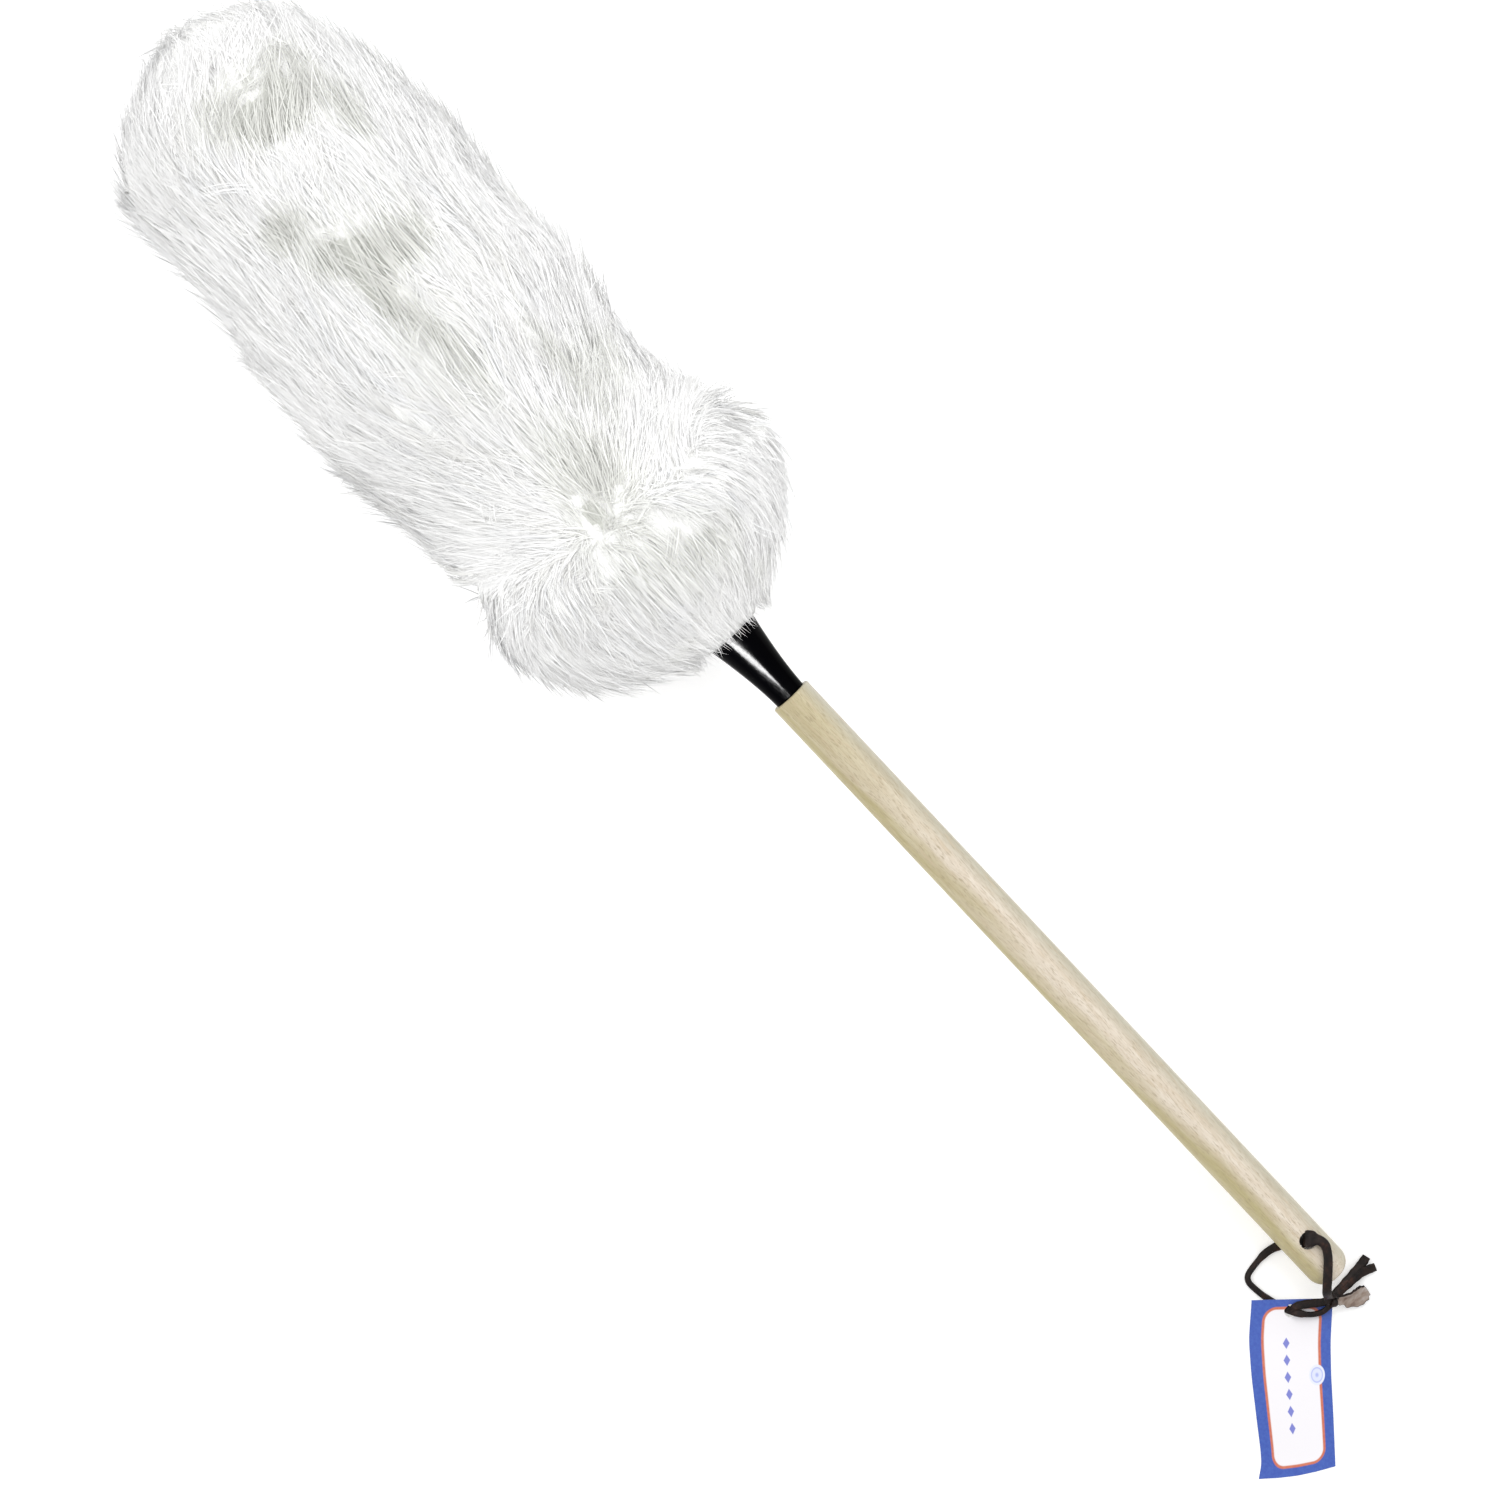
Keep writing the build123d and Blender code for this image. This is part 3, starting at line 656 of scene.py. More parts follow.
# ---- fleece: the pile's outer form
# Along the axis from the handle's end, half width of the pile, and how far its middle lies to +Y, in
# millimetres.
PILE_OUTLINE = (
    (323, 13.5, 0), (327, 23, 3), (332, 33.5, 4), (340.5, 46.5, 3.2), (350, 54.5, 2.6),
    (360, 60.5, 2), (370, 63.2, 1.5), (380, 60, 4.5), (391, 53.5, 3.2), (403, 52.3, 3.9),
    (414, 51.6, 5.2), (425, 50.4, 6.2), (436, 52.4, 5.8), (447, 55.2, 5.3), (468, 59.2, 5.1),
    (480, 57.8, 5.4), (494, 55.2, 5.2), (522, 54, 3.9), (543, 52.4, 1.8), (566, 50.4, 3.4),
    (580, 48.6, 4.6), (589, 46, 4.6), (598, 38.5, 3.2), (607, 27, 0), (612.5, 14, 0),
    (615, 0, 0))
OUTLINE_STEPS = 400
OUTLINE_SMOOTHING = 9
LUMPS = 9  # waves along the pile and round it that make it uneven
LUMP_HEIGHT = 0.014  # of each, as a share of the pile's radius
LUMP_TURNS = (0.02, 0.09)  # in radians for each millimetre along the pile
LUMP_HARMONICS = (2, 10)  # waves round it
FULL_RADIUS = 30  # where the pile is narrower, its lumps and depths are less in proportion
# Hollows where the pile parts: along, to +Y, length along and across, and depth. Fibres over them are also painted
# grey as shade.
HOLLOWS = (
    (391, 4.5, 4.5, 4, 6.5), (401, -5, 11, 9, 2.5),
    (539, 19, 7, 7, 6), (521, 12, 6, 8, 6), (512, 1, 8, 9, 7),
    (507, -10, 6, 8, 6), (497, 8, 12, 6, 4),
    (574, -3, 8, 8, 8), (570, -14, 7, 10, 7), (580, -22, 8, 8, 4),
    (555, -28, 14, 4, 3), (470, 4, 22, 3.5, 2.5), (440, -22, 24, 4, 3))
# Soft grey painted shade in the wool where it does not dip, given in the same way.
SHADES = (
    (410, 0, 20, 14, 2.8), (392, 3, 12, 16, 1.6), (379, 7, 13, 16, 1.5),
    (352, -14, 14, 16, 1.4), (585, -12, 10, 22, 1.5), (582, 6, 12, 14, 3),
    (530, 8, 20, 22, 1.2), (505, -18, 34, 12, 1), (428, -34, 16, 14, 2.4),
    (470, 8, 30, 18, 1.8), (556, -30, 12, 14, 1.2), (333, -24, 5, 10, 1.6),
    (331, 17, 4, 9, 1.4), (364, 0, 20, 34, 1.5))


def smoothed_outline():
    """The outline as even steps of arc length: places along, half widths, shifts, and its whole length."""
    rows = np.array(PILE_OUTLINE)
    runs = np.hypot(np.diff(rows[:, 0]), np.diff(rows[:, 1]))
    travelled = np.concatenate([[0], np.cumsum(runs)])
    steps = np.linspace(0, travelled[-1], OUTLINE_STEPS)
    kernel = np.hanning(2 * OUTLINE_SMOOTHING + 1)
    kernel /= kernel.sum()
    columns = []
    for column in rows.T:
        straight = np.interp(steps, travelled, column)
        ends = 2 * straight[0] - straight[OUTLINE_SMOOTHING:0:-1]
        other_ends = 2 * straight[-1] - straight[-2:-OUTLINE_SMOOTHING - 2:-1]
        columns.append(np.convolve(np.concatenate([ends, straight, other_ends]), kernel, mode="valid"))
    return columns[0], np.maximum(columns[1], 0.0), columns[2], travelled[-1]


outline_along, outline_half, outline_shift, outline_length = smoothed_outline()
outline_shares = np.linspace(0, 1, OUTLINE_STEPS)
lump_waves = [(random.uniform(*LUMP_TURNS), random.integers(*LUMP_HARMONICS),
               random.uniform(0, 2 * math.pi, 2)) for _ in range(LUMPS)]


def at_share(place, values):
    """What an outline column says at a share of the outline's length."""
    return np.interp(place, outline_shares, values)


def fullness(half):
    """How full the pile is, from 0 to 1, by its half width in millimetres."""
    return np.clip(half / FULL_RADIUS, 0, 1)


def pile_radius(place, angle):
    """The pile's radius in millimetres at a share of the outline and an angle about the axis."""
    half = at_share(place, outline_half)
    travelled = place * outline_length
    lumps = sum(np.sin(travelled * wave + phases[0]) * np.cos(harmonic * angle + phases[1])
                for wave, harmonic, phases in lump_waves)
    return half * (1 + LUMP_HEIGHT * lumps * fullness(half))


COLLAR_OUTLINE = ((291, 6.2), (312, 8.4), (324, 10.7), (331, 12.6), (333, 12.6), (334, 0))
WOOL_OFF_COLLAR = 0.9


def collar_clearance(along):
    """The least radius that wool may have at a place along the axis, in millimetres."""
    places, radii = zip(*COLLAR_OUTLINE)
    return np.interp(along, places, np.array(radii) + WOOL_OFF_COLLAR, left=0.0, right=0.0)


def pile_place(place, angle, depth):
    """Places in the frame at a depth in millimetres below the pile's outer form."""
    slope_along = at_share(place, np.gradient(outline_along, outline_shares))
    slope_half = at_share(place, np.gradient(outline_half, outline_shares))
    steep = np.hypot(slope_along, slope_half)
    along = at_share(place, outline_along) + depth * slope_half / steep
    radius = np.maximum(pile_radius(place, angle) - depth * slope_along / steep, collar_clearance(along))
    side = at_share(place, outline_shift) + radius * np.cos(angle)
    return on_duster(along * MM, side * MM, radius * np.sin(angle) * MM)


def above_floor(points, softness=1.2 * MM):
    """Points pressed up to the floor where they would go below it, in a soft bend."""
    raised = points.copy()
    height = points[..., 2] - FLOOR_CLEARANCE
    raised[..., 2] = FLOOR_CLEARANCE + softness * np.logaddexp(0, height / softness)
    return raised


def hollow_depth(along, side, upper, rows=HOLLOWS):
    """How far the pile dips at its partings, in millimetres; given the SHADES rows, how deep the painted grey
    shade of those patches is.
    """
    depth = np.zeros_like(along)
    for centre_along, centre_side, length, breadth, deep in rows:
        away = ((along - centre_along) / length) ** 2 + ((side - centre_side) / breadth) ** 2
        depth += deep * np.exp(-away) * upper
    return depth


# ---- fleece: how the pile lies
PART_ALONG = 392.0  # the pile parts here, and lies to the tip on one side, to the collar on the other
PART_WAVES = ((7.0, 2, 0.6), (4.0, 5, 0.0))  # how the parting wanders: height, waves round the axis, phase
PART_BREADTH = 7.0
DRIFT = 0.10  # how far the pile drifts round the axis, in waves
DRIFT_WAVES = 3
DRIFT_LENGTH = 45.0
WHORL = (392.0, 4.0)  # along the axis and to +Y, on the upper side
WHORL_REACH = 75.0
WHORL_BACK = 8.0  # the locks point away from a place this far nearer the collar
WHORL_BREADTH = 0.8
WHORL_EDGE = (-10.0, 4.0)  # along the axis from the whorl, where it takes hold
SWIRL = (576.0, -7.0)
SWIRL_REACH = 30.0
SWIRL_TURN = math.radians(-65)
MOUTH_PLACE = 0.008  # no fibre goes further over the collar than this share of the outline
LEAST_TURN_RADIUS = 9.0  # by which distances round the axis are taken as angles near the tip
MIDDLE_RADIUS = 52.0
NORMAL_DEPTH = 9.0  # how far in the pile its way out is measured from
TUFTS = 190
TUFT_ALONG = (335, 608)
TUFT_RADIUS = (4.5, 10.0)
TUFT_RISE = (0.8, 4.2)

tufts = [(random.uniform(*TUFT_ALONG), random.uniform(0, 2 * math.pi), random.uniform(*TUFT_RADIUS),
          random.uniform(*TUFT_RISE)) for _ in range(TUFTS)]


def quarter_turned(lie):
    return np.stack([-lie[..., 1], lie[..., 0]], axis=-1)


def turned(lie, angle):
    """Ways over the pile, turned by an angle."""
    return lie * np.cos(angle)[..., None] + quarter_turned(lie) * np.sin(angle)[..., None]


def upper_share(angle):
    """1 on the pile's upper side, falling to 0 at its sides."""
    return np.clip(np.sin(angle) * 2, 0, 1)


def over_pile(place, angle):
    """Millimetres along the axis and to +Y from the pile's middle, and the upper side's share."""
    return at_share(place, outline_along), at_share(place, outline_half) * np.cos(angle), upper_share(angle)


def pile_flow(place, angle):
    """The way that the pile lies: a vector of (towards the tip, round the axis), up to one unit long."""
    along, side, upper = over_pile(place, angle)
    parting = PART_ALONG + sum(height * np.sin(waves * angle + phase) for height, waves, phase in PART_WAVES)
    lie = np.stack([np.tanh((along - parting) / PART_BREADTH),
                    DRIFT * np.sin(DRIFT_WAVES * angle + along / DRIFT_LENGTH)], axis=-1)

    from_whorl = np.stack([along - WHORL[0] + WHORL_BACK, WHORL_BREADTH * (WHORL[1] - side)], axis=-1)
    away = np.linalg.norm(from_whorl, axis=-1)
    hold = np.interp(along - WHORL[0], WHORL_EDGE, (0, 1))
    pull = (np.exp(-(away / WHORL_REACH) ** 2) * upper * hold)[..., None]
    lie = (1 - pull) * lie + pull * unit(from_whorl)

    from_swirl = np.hypot(along - SWIRL[0], side - SWIRL[1])
    return turned(lie, -SWIRL_TURN * np.exp(-(from_swirl / SWIRL_REACH) ** 2) * upper)


def moved_on(place, angle, forward, around):
    """Places and angles after moving over the pile by distances in millimetres, over the tip if need be."""
    angle = angle + around / np.maximum(at_share(place, outline_half), LEAST_TURN_RADIUS)
    place = place + forward / outline_length
    over = place > 1
    return np.clip(np.where(over, 2 - place, place), MOUTH_PLACE, 1.0), np.where(over, angle + math.pi, angle)


def tuft_rise(place, angle):
    """How far the pile stands up in tufts at places over it, in millimetres."""
    along = at_share(place, outline_along)
    rise = np.zeros_like(along)
    for centre, turn, radius, height in tufts:
        round_the_axis = (np.mod(angle - turn + math.pi, 2 * math.pi) - math.pi) * MIDDLE_RADIUS
        away = ((along - centre) ** 2 + round_the_axis ** 2) / radius ** 2
        rise += height * np.exp(-away)
    return rise


def pile_normal(place, angle):
    """The way out of the pile, one unit long."""
    return unit(pile_place(place, angle, 0.0) - pile_place(place, angle, NORMAL_DEPTH))


# ---- fleece: locks and fibres
LOCKS = 6200
FIBRES_PER_LOCK = 8
FIBRE_STEPS = 6
FIBRE_HALF_WIDTH = 0.25
FIBRE_WIDTHS = (0.7, 1.15)  # from fibre to fibre, as a share of that
ROOT_WIDTH = 0.62  # of the fibre's greatest, which is about half way
TIP_THINNING = 0.75  # of the width, lost by the tip
FIBRE_REACH = (0.75, 1.1)  # a fibre's length, as a share of its lock's
BEND_AT = 0.45  # of that length
BEND_GATHERED = 0.8  # of its tip's offset in the lock
GROWN_CLOSER_BY = 4.0  # how much closer locks grow where the pile is narrow, in millimetres of radius
ANGLE_SCATTER = 0.1
LOCK_SPREAD = (1.2, 3.4)  # how wide a lock stands at its root
LOCK_TIP_SHARE = 0.6  # and its tip's share of that
TIP_SCATTER = 0.6
LOCK_LENGTH = (24.0, 46.0)
LOCK_SWAY = 1.8
LOCK_WANDER = 0.16  # how far, as an angle, a lock lies off the pile's flow
LAYER_DEPTH = 1.6
LAYER_BIAS = 1.4  # above 1, more of the locks lie near the surface
WILDEST_LAYER = 1.3  # where the locks are unruly they lie so much deeper, at most
TIP_LAYER = 0.5  # of its lock's depth
TIP_UNEVEN = 0.9  # how far fibres of one lock lie above and below each other
BEND_BELOW = 0.5  # how far a fibre's bend lies below its lock's depth
BEND_UNEVEN = 0.3
BEND_DIP = 0.75  # of the hollow's depth
BEND_RISE = 0.35  # of the tuft's
WILD_ALONG = (380, 400, 540, 585)  # how unruly the locks are along the axis
WILDNESS = (0.45, 1.0, 1.0, 2.3)
CRIMP_HEIGHT = (0.2, 0.9)  # how far a lock's waves stand to each side
CRIMP_WAVES = (0.7, 1.5)  # in its length
UNDERCOAT_DEPTH = 3.6
UNDERCOAT_DIP = 0.8  # of the hollows in the pile above it: the fibres' roots follow it
ROOT_BELOW = (0.4, 2.0)  # how far the fibres' roots are below the undercoat's surface
FLYAWAY_SHARE = 0.14
FLYAWAY_RISE = (0.5, 6.5)
FUZZ_SHARE = 0.16  # of the locks: short wool that lies across the rest
FUZZ_LENGTH = 0.45  # of the others' length
FUZZ_WANDER = 0.6
HOLLOW_THINNING = 9.0  # the depth of hollow, in millimetres, that no fibre would lie across
MOST_THINNED = 0.6  # but no more than this share of them is left out
LEAST_ROOT_DEPTH = 0.25  # of the full one, where the pile is narrow
WHORL_LOCKS = 0.07  # the share of the locks that are set close round the whorl and the parting
WHORL_SCATTER = (9.0, 0.75)  # in millimetres along the axis and as an angle about it
WHORL_LENGTH = 0.7  # of the others' length
UPPER_FROM = 25.0  # millimetres above the axis, from where the grey painted shade of the hollows and shade patches has its full say
PAINTED_SHADE_DEPTH = (1.5, 4.5)  # the depth of hollow or shade patch, in millimetres, at which a fibre is painted grey as shade
PALE_PAINTED_SHADE_FROM = 0.45  # of that depth, from where the paler painted shade begins
FLEECE_GROUPS = 8
OUTWARD_SHADING = 0.92  # how far a fibre is shaded as part of the pile, not as a strand
GLOWING, PALE_PAINTED_SHADE, PARTING_PAINTED_SHADE = 3, 4, 5  # places in WOOL_SHADES: the glowing one is painted light, the two greys painted shade
GLOWING_STRETCHES = 1  # of each fibre from its root, which glow as painted light for the light that the wool inside the pile passes on
GLOW_MIDDLE = 26.0  # millimetres above the axis: fibres near here glow as painted light for the pile's shoulders lit through from beside
GLOW_REACH = (2.0, 32.0)  # how far from there a fibre still glows
SHADE_SHARES = (0.55, 0.27, 0.18)  # of the locks in each of the first three shades


def lock_roots():
    """Each lock's place and angle, and whether it is one of those set close round the whorl."""
    area = np.cumsum(outline_half + GROWN_CLOSER_BY)
    order = (np.arange(LOCKS) + random.uniform(0, 1, LOCKS)) / LOCKS
    place = np.interp(order * area[-1], area, outline_shares)
    angle = np.mod(np.arange(LOCKS) * math.pi * (3 - math.sqrt(5)), 2 * math.pi)
    angle = angle + random.normal(0, ANGLE_SCATTER, LOCKS)
    at_whorl = random.uniform(0, 1, LOCKS) < WHORL_LOCKS
    near_part = PART_ALONG + random.normal(0, WHORL_SCATTER[0], LOCKS)
    place = np.where(at_whorl, np.interp(near_part, outline_along, outline_shares), place)
    return place, np.where(at_whorl, math.pi / 2 + random.normal(0, WHORL_SCATTER[1], LOCKS), angle), at_whorl


def fibre_curves():
    """Every fibre's root, bend and tip, the way out of the pile at each, and its lock's values."""
    lock_place, lock_angle, at_whorl = lock_roots()
    length = random.uniform(*LOCK_LENGTH, LOCKS) * np.where(at_whorl, WHORL_LENGTH, 1.0)
    wild = np.interp(at_share(lock_place, outline_along), WILD_ALONG, WILDNESS)
    fuzz = random.uniform(0, 1, LOCKS) < FUZZ_SHARE
    length = np.where(fuzz, FUZZ_LENGTH * length, length)
    sway = random.normal(0, LOCK_SWAY, LOCKS) * wild
    wander = random.normal(0, LOCK_WANDER, LOCKS) * wild + fuzz * random.normal(0, FUZZ_WANDER, LOCKS)
    layer = random.uniform(0, 1, LOCKS) ** LAYER_BIAS * LAYER_DEPTH * np.minimum(wild, WILDEST_LAYER)
    lock_spread = random.uniform(*LOCK_SPREAD, LOCKS)

    lock = np.repeat(np.arange(LOCKS), FIBRES_PER_LOCK)
    count = len(lock)
    spread = random.normal(0, 1, (count, 2)) * lock_spread[lock][:, None]
    gathered = spread * LOCK_TIP_SHARE + random.normal(0, TIP_SCATTER, (count, 2))
    reach = (length[lock] * random.uniform(*FIBRE_REACH, count))[:, None]

    start = lock_place[lock], lock_angle[lock]
    first = turned(pile_flow(*start), wander[lock])
    root = moved_on(*start, *spread.T)
    half_way = moved_on(*start, *(BEND_AT * reach * first).T)
    second = turned(pile_flow(*half_way), wander[lock])
    bend = moved_on(*half_way, *(quarter_turned(first) * sway[lock][:, None] + BEND_GATHERED * gathered).T)
    tip = moved_on(*half_way, *((1 - BEND_AT) * reach * second + gathered).T)

    dip, dip_at_bend, dip_at_tip = [hollow_depth(*over_pile(*where)) for where in (root, bend, tip)]
    stray = random.uniform(0, 1, count) < FLYAWAY_SHARE
    rise = tuft_rise(*tip)
    stray_rise = stray * random.uniform(*FLYAWAY_RISE, count)
    tip_depth = TIP_LAYER * layer[lock] + random.uniform(-TIP_UNEVEN, TIP_UNEVEN, count) + dip_at_tip
    bend_depth = layer[lock] + BEND_BELOW + random.normal(0, BEND_UNEVEN, count)
    bend_depth = bend_depth + BEND_DIP * dip - BEND_RISE * rise
    near_ends = np.maximum(fullness(at_share(root[0], outline_half)), LEAST_ROOT_DEPTH)
    root_depth = (UNDERCOAT_DEPTH + random.uniform(*ROOT_BELOW, count)) * near_ends + UNDERCOAT_DIP * dip
    curves = [pile_place(*root, root_depth), pile_place(*bend, bend_depth),
              pile_place(*tip, tip_depth - stray_rise - rise)]
    outwards = [pile_normal(*where) for where in (root, bend, tip)]
    kept = random.uniform(0, 1, count) > np.clip(dip_at_bend / HOLLOW_THINNING, 0, MOST_THINNED)
    waves = np.stack([random.uniform(*CRIMP_HEIGHT, LOCKS) * wild ** 0.5, random.uniform(*CRIMP_WAVES, LOCKS),
                      random.uniform(0, 2 * math.pi, LOCKS)], axis=1)
    return [place[kept] for place in curves], [way[kept] for way in outwards], waves, lock_place, lock[kept]


def stretch_shades(line, own):
    """The shade of each stretch of each fibre: its lock's own, the glowing one as painted light, or a grey painted
    as shade near a parting or in a shade patch.
    """
    middles = (line[:, :-1] + line[:, 1:]) / 2 - np.array(handle_end)
    along, side, up = [middles @ np.array(axis) / MM for axis in (ALONG, SIDE, UP)]
    upper = np.clip(up / UPPER_FROM, 0, 1)
    # Painted shade: fibres turn grey over the hollows and in the SHADES patches.
    depth = hollow_depth(along, side, upper) + hollow_depth(along, side, upper, SHADES)
    grey = depth / random.uniform(*PAINTED_SHADE_DEPTH, (len(line), 1))
    glows = np.abs(up - GLOW_MIDDLE) < random.uniform(*GLOW_REACH, (len(line), 1))
    glows[:, :GLOWING_STRETCHES] = True
    shades = np.where(glows, GLOWING, own[:, None])
    return np.where(grey > 1, PARTING_PAINTED_SHADE, np.where(grey > PALE_PAINTED_SHADE_FROM, PALE_PAINTED_SHADE, shades))


def fibre_mesh(name, curves, outwards, waves, materials, kinds):
    """One mesh of tapered three-sided fibres, each a closed strand along the bend from its root to its tip.

    Their normals lean to the way out of the pile, so that they catch the light together as wool does.
    """
    count = len(curves[0])
    shares = np.linspace(0, 1, FIBRE_STEPS)[None, :, None]
    weights = (1 - shares) ** 2, 2 * shares * (1 - shares), shares ** 2
    line = sum(weight * place[:, None] for weight, place in zip(weights, curves))
    outward = unit(sum(weight * way[:, None] for weight, way in zip(weights, outwards)))
    sideways = unit(np.cross(np.gradient(line, axis=1), outward))
    height, turns, phase = [value[:, None, None] for value in waves.T]
    line = line + sideways * shares * height * MM * np.sin(2 * math.pi * turns * shares + phase)
    ahead = unit(np.gradient(line, axis=1))
    first = unit(np.cross(ahead, unit(random.normal(size=(count, 1, 3)))))
    second = np.cross(ahead, first)
    along = shares[:, :-1]
    taper = ROOT_WIDTH + (1 - ROOT_WIDTH) * np.sin(math.pi * along ** 0.8)
    taper = taper * (1 - TIP_THINNING * along ** 3)
    half = FIBRE_HALF_WIDTH * MM * random.uniform(*FIBRE_WIDTHS, (count, 1, 1)) * taper
    corners = [half * (math.cos(turn) * first[:, :-1] + math.sin(turn) * second[:, :-1])
               for turn in np.arange(3) * 2 * math.pi / 3]
    corners = np.stack(corners, axis=2)
    rings = (line[:, :-1, None] + corners).reshape(count, -1, 3)
    bare = np.concatenate([unit(corners).reshape(count, -1, 3), ahead[:, -1:]], axis=1)
    way_out = np.concatenate([np.repeat(outward[:, :-1], 3, axis=1), outward[:, -1:]], axis=1)
    normals = unit((1 - OUTWARD_SHADING) * bare + OUTWARD_SHADING * way_out)
    vertices = above_floor(np.concatenate([rings, line[:, -1:]], axis=1))

    last = 3 * (FIBRE_STEPS - 2)
    faces = tube_faces(FIBRE_STEPS - 1, 3) + [(0, 2, 1)]
    faces += [(last + j, last + k, last + 3) for j, k in ring_sides(3)]
    per_fibre = vertices.shape[1]
    indexes = (np.concatenate(faces)[None] + per_fibre * np.arange(count)[:, None]).ravel()
    sizes = np.tile([len(face) for face in faces], count)
    stretch = [min(face) // 3 for face in faces]
    kinds = stretch_shades(line, kinds)[:, stretch].ravel()

    mesh = bpy.data.meshes.new(name)
    mesh.vertices.add(count * per_fibre)
    mesh.vertices.foreach_set("co", vertices.astype(np.float32).ravel())
    mesh.loops.add(len(indexes))
    mesh.loops.foreach_set("vertex_index", indexes.astype(np.int32))
    mesh.polygons.add(len(sizes))
    mesh.polygons.foreach_set("loop_start", (np.cumsum(sizes) - sizes).astype(np.int32))
    mesh.polygons.foreach_set("material_index", kinds.astype(np.int32))
    mesh.polygons.foreach_set("use_smooth", np.ones(len(sizes), bool))
    for material in materials:
        mesh.materials.append(material)
    mesh.update(calc_edges=True)
    mesh.normals_split_custom_set_from_vertices(normals.reshape(-1, 3))
    return new_object(name, mesh)


def wool_fibre(name, colour, glow):
    """One shade of soft washed wool. glow is painted light: an emission that stands for the light passed on from
    fibre to fibre.
    """
    return Nodes(name, Base_Color=colour, Roughness=0.8, Specular_IOR_Level=0.15, Emission_Color=colour,
                 Emission_Strength=glow).material


def wool_undercoat(name, low, high, glow):
    """The dense wool below the locks: matted crimp between two tones, in soft patches. glow is painted light: an
    emission in its lighter tone.
    """
    m = Nodes(name, Roughness=0.9, Sheen_Weight=0.3, Sheen_Roughness=0.6, Emission_Color=high,
              Emission_Strength=glow)
    crimp = m.noise(1, 4, 0.65, 0.8, m.on_axis(220, 900))
    patches = m.noise(1, 3, places=m.on_axis(22, 60))
    colour = m.ramp(crimp, (0.3, low), (0.65, high))
    return m.made(m.mix(m.span(patches, 0.4, 0.7, 0.0, 0.5), colour, low), bump=(crimp, 0.9, 0.0012))


UNDERCOAT_STEPS = (230, 180)  # rings along it and points round each
UNDERCOAT_SPAN = (0.012, 0.995)  # of the outline
UNDERCOAT_ROUGHNESS = 0.9
UNDERCOAT_FULL_FROM = 40  # millimetres of half width, from where it lies at its full depth
LEAST_UNDERCOAT_DEPTH = 0.05  # of the full one
SHADED_UNDERCOAT_DIP = 3.0  # the undercoat is painted grey as shade where the pile dips more than this
# Its inside, round the sleeve and the collar: along the axis, and radius.
UNDERCOAT_BORE = ((583, 4), (583, 15.5), (576, 17.8), (365, 17.8), (353, 16.9), (334, 16.9),
                  (322, 11.6))


def undercoat():
    """The matted wool that the locks grow from, a closed skin round the sheepskin sleeve."""
    steps, around = UNDERCOAT_STEPS
    angles = np.linspace(0, 2 * math.pi, around, endpoint=False)
    place, angle = np.meshgrid(np.linspace(*UNDERCOAT_SPAN, steps), angles, indexing="ij")
    along, side, upper = over_pile(place, angle)
    half = at_share(place, outline_half)
    dip = hollow_depth(along, side, upper)
    rough = UNDERCOAT_ROUGHNESS * np.sin(along / 3.1 + 3 * np.sin(9 * angle)) * np.cos(17 * angle + along / 9)
    share = np.clip(half / UNDERCOAT_FULL_FROM, LEAST_UNDERCOAT_DEPTH, 1)
    depth = UNDERCOAT_DEPTH * share + rough + UNDERCOAT_DIP * dip
    outer = above_floor(pile_place(place, angle, depth))
    inner = [on_duster(bore_along * MM, radius * MM * np.cos(angles), radius * MM * np.sin(angles))
             for bore_along, radius in UNDERCOAT_BORE]
    rings = np.concatenate([inner, outer])
    vertices = np.concatenate([rings.reshape(-1, 3), [rings[0].mean(0), rings[-1].mean(0)]])
    tip, ends = (len(rings) - 1) * around, len(rings) * around
    faces = tube_faces(len(rings), around) + [(j, k, ends) for j, k in ring_sides(around)]
    faces += [(tip + j, tip + k, ends + 1) for j, k in ring_sides(around)]
    kinds = [0] * (len(inner) * around) + [int(deep) for deep in dip[:-1].ravel() > SHADED_UNDERCOAT_DIP]
    kinds += [0] * (len(faces) - len(kinds))
    # Both undercoat materials glow as painted light. The second is a grey painted as shade under deep hollows.
    materials = [wool_undercoat("wool_undercoat", (0.84, 0.845, 0.82), (0.94, 0.94, 0.93), 0.25),
                 wool_undercoat("wool_undercoat_painted_shade", (0.60, 0.61, 0.57), (0.76, 0.77, 0.72), 0.20)]
    piece = mesh_piece("fleece_undercoat", vertices, faces, materials=materials, face_materials=kinds)
    face_outwards(piece.data)
    return piece


# Every wool shade glows a little as painted light. The fourth glows more: painted light for the roots and the
# shoulders. The last two are greys painted as shade.
WOOL_SHADES = [wool_fibre(*shade) for shade in (
    ("wool_white", (0.94, 0.94, 0.935), 0.16), ("wool_warm_white", (0.93, 0.928, 0.905), 0.16),
    ("wool_cool_white", (0.925, 0.932, 0.94), 0.16), ("wool_glowing_white", (0.955, 0.955, 0.95), 0.22),
    ("wool_painted_pale_shade", (0.88, 0.885, 0.86), 0.19), ("wool_painted_parting_shade", (0.745, 0.75, 0.715), 0.17))]

base = undercoat()
stands_in(base, "wool_pile", "duster", "fleece")

curves, outwards, waves, lock_places, lock_of = fibre_curves()
shade_of_lock = random.choice(3, size=LOCKS, p=SHADE_SHARES)
group_edges = np.quantile(lock_places, np.linspace(0, 1, FLEECE_GROUPS + 1)[1:-1])
group_of = np.searchsorted(group_edges, lock_places)[lock_of]
for group in range(FLEECE_GROUPS):
    mine = group_of == group
    locks = fibre_mesh(f"fleece_locks_{group + 1}", [place[mine] for place in curves],
                       [way[mine] for way in outwards], waves[lock_of[mine]], WOOL_SHADES,
                       shade_of_lock[lock_of[mine]])
    stands_in(locks, "wool_pile", "duster", "fleece")


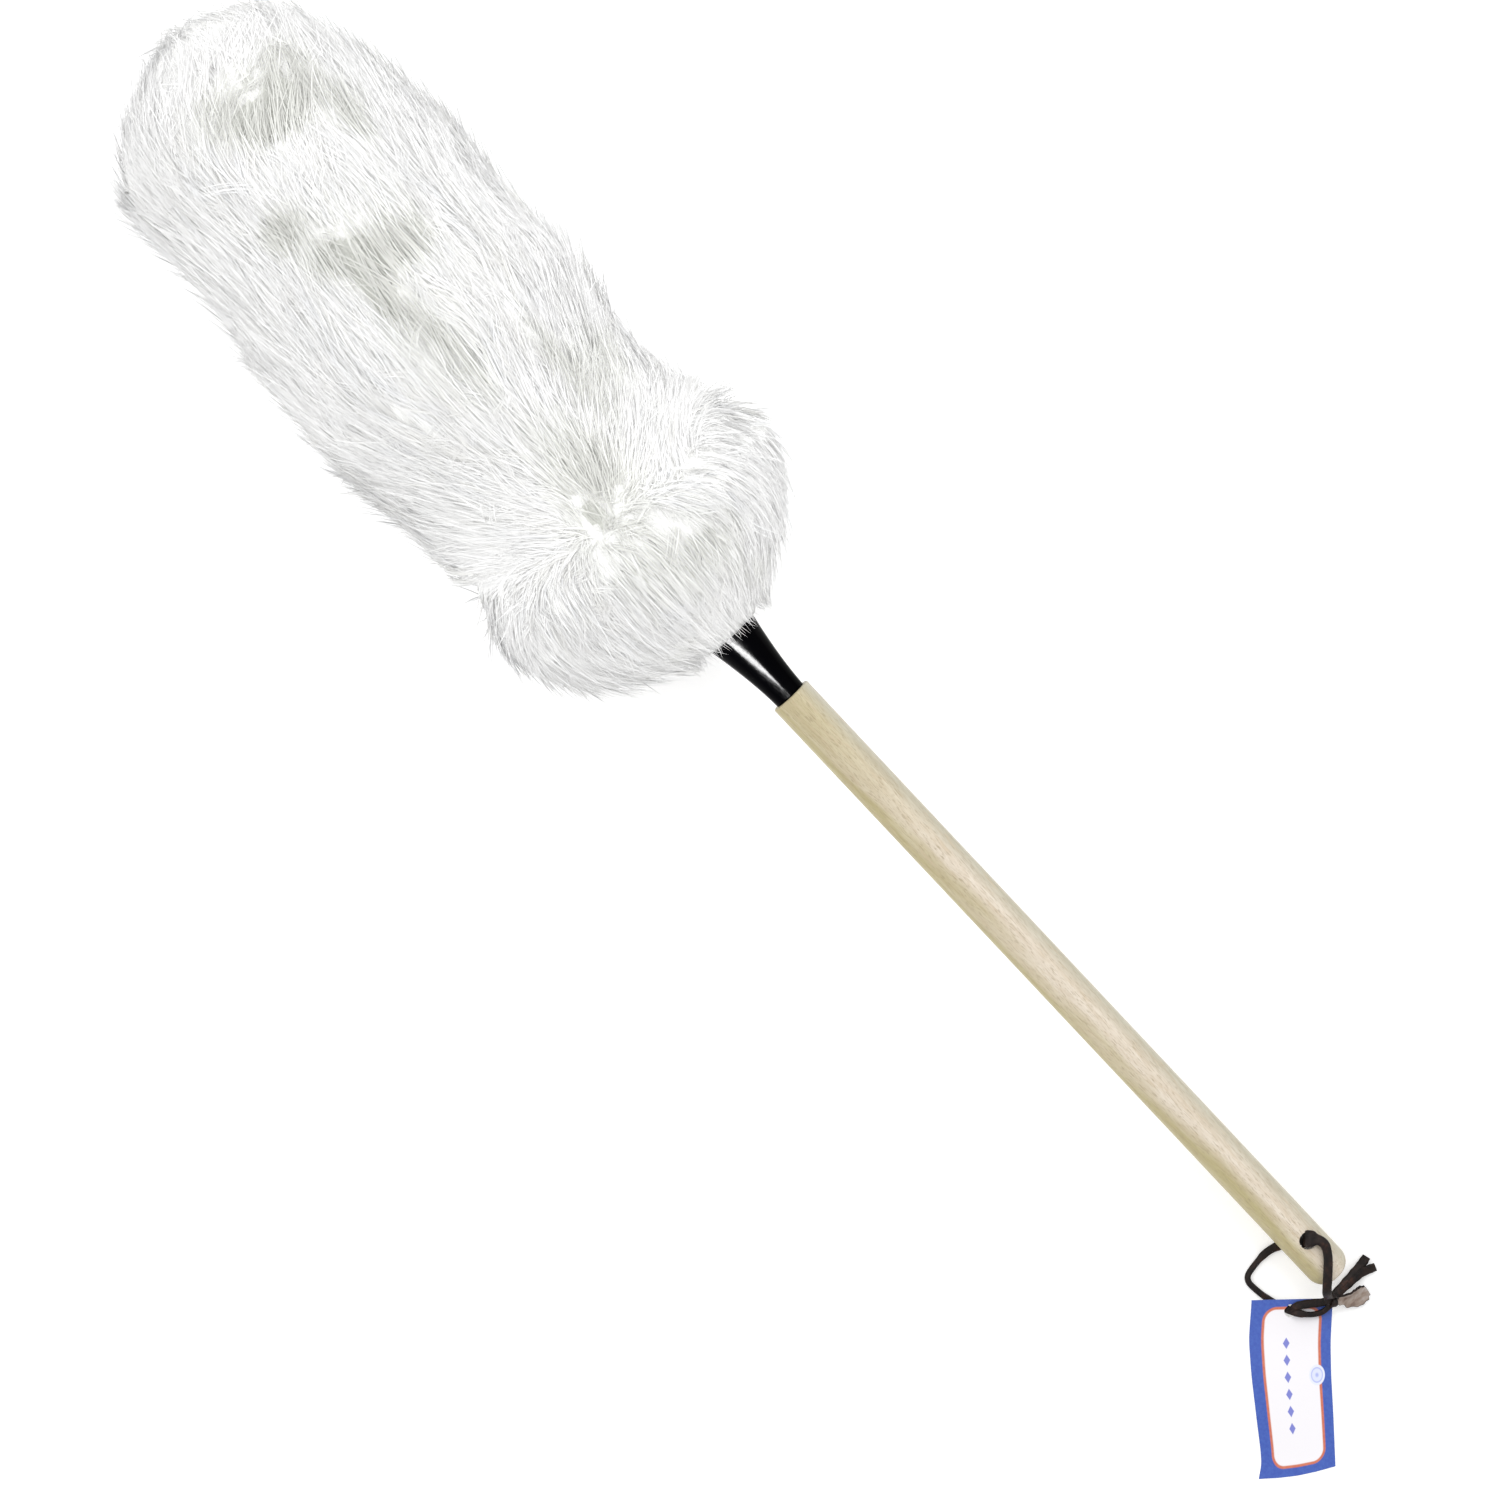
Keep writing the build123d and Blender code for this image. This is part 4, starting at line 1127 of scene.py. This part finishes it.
# ---- finishes of the frame's own pieces
softwood = grained("plain_wood", (0.45, 0.30, 0.17), (0.72, 0.57, 0.38), (0.3, 0.0003), (4, 4, 0.6, 0.8),
                   (6, 160), Roughness=0.7)
batting = grained("batting", (0.66, 0.66, 0.63), (0.87, 0.87, 0.85), (0.8, 0.0008), (2, 4, 0.7, 0.4),
                  (900, 120), Roughness=0.95, Sheen_Weight=0.4, Sheen_Roughness=0.6)
thread = waxed_thread()
leather_skin = pelt_leather()
steel = plain_steel()
for node, material in (
        ("handle", pale_wood()), ("collar", black_plastic()), ("core_rod", softwood),
        ("padding_roll", batting), ("pelt_sleeve", leather_skin), ("pelt_tip_cap", leather_skin),
        ("sleeve_seam_stitches", thread), ("cap_stitching", thread), ("sleeve_neck_binding", thread),
        ("sleeve_tacks", steel), ("tip_nail", steel)):
    for holder in nodes[node].material_slots:
        holder.link = "OBJECT"
        holder.material = material


# ---- studio
FLOOR_HALF = 30.0
HEAD = (0.1, 0.0, 0.05)


def studio_floor():
    """A wide white sheet, with a little glow so that shadows on it stay faint."""
    m = Nodes("studio_floor", Roughness=0.95, Emission_Color=(1.0, 1.0, 1.0), Emission_Strength=0.32)
    sheet = m.made(m.ramp(m.noise(3, 2), (0.0, (0.83, 0.83, 0.83)), (1.0, (0.85, 0.85, 0.85))))
    corners = [(x * FLOOR_HALF, y * FLOOR_HALF, 0) for x, y in ((-1, -1), (1, -1), (1, 1), (-1, 1))]
    mesh_piece("studio_floor", corners, [(0, 1, 2, 3)], materials=[sheet])


def soft_light(name, place, aim, size, strength, along=(0, 0, 1)):
    """An area light that looks at a place. size is (across, along), and its length lies near along."""
    data = bpy.data.lights.new(name, "AREA")
    data.shape = "RECTANGLE"
    data.size, data.size_y = size
    data.energy = strength
    light = bpy.data.objects.new(name, data)
    light.location = place
    back = (Vector(place) - Vector(aim)).normalized()
    across = Vector(along).cross(back).normalized()
    light.rotation_euler = Matrix((across, back.cross(across), back)).transposed().to_euler()
    scene.collection.objects.link(light)
    return light


studio_floor()
world = bpy.data.worlds.new("studio_world")
world.use_nodes = True
background = world.node_tree.nodes["Background"].inputs
background["Color"].default_value = (1.0, 1.0, 1.0, 1.0)
background["Strength"].default_value = 0.82
scene.world = world
soft_light("key", (0.9, 0.75, 1.9), HEAD, (1.0, 1.0), 11.0)
soft_light("fill", (0.2, -1.3, 1.5), HEAD, (1.4, 1.4), 12.0)
streak = soft_light("collar_streak", (-0.60, 0.46, 1.07), (0.0, 0.0, 0.035), (0.16, 0.8), 360.0,
                    along=(-0.2, 0.69, -0.34))
lit_by_streak = bpy.data.collections.new("lit_by_streak")
lit_by_streak.objects.link(nodes["collar"])
streak.light_linking.receiver_collection = lit_by_streak
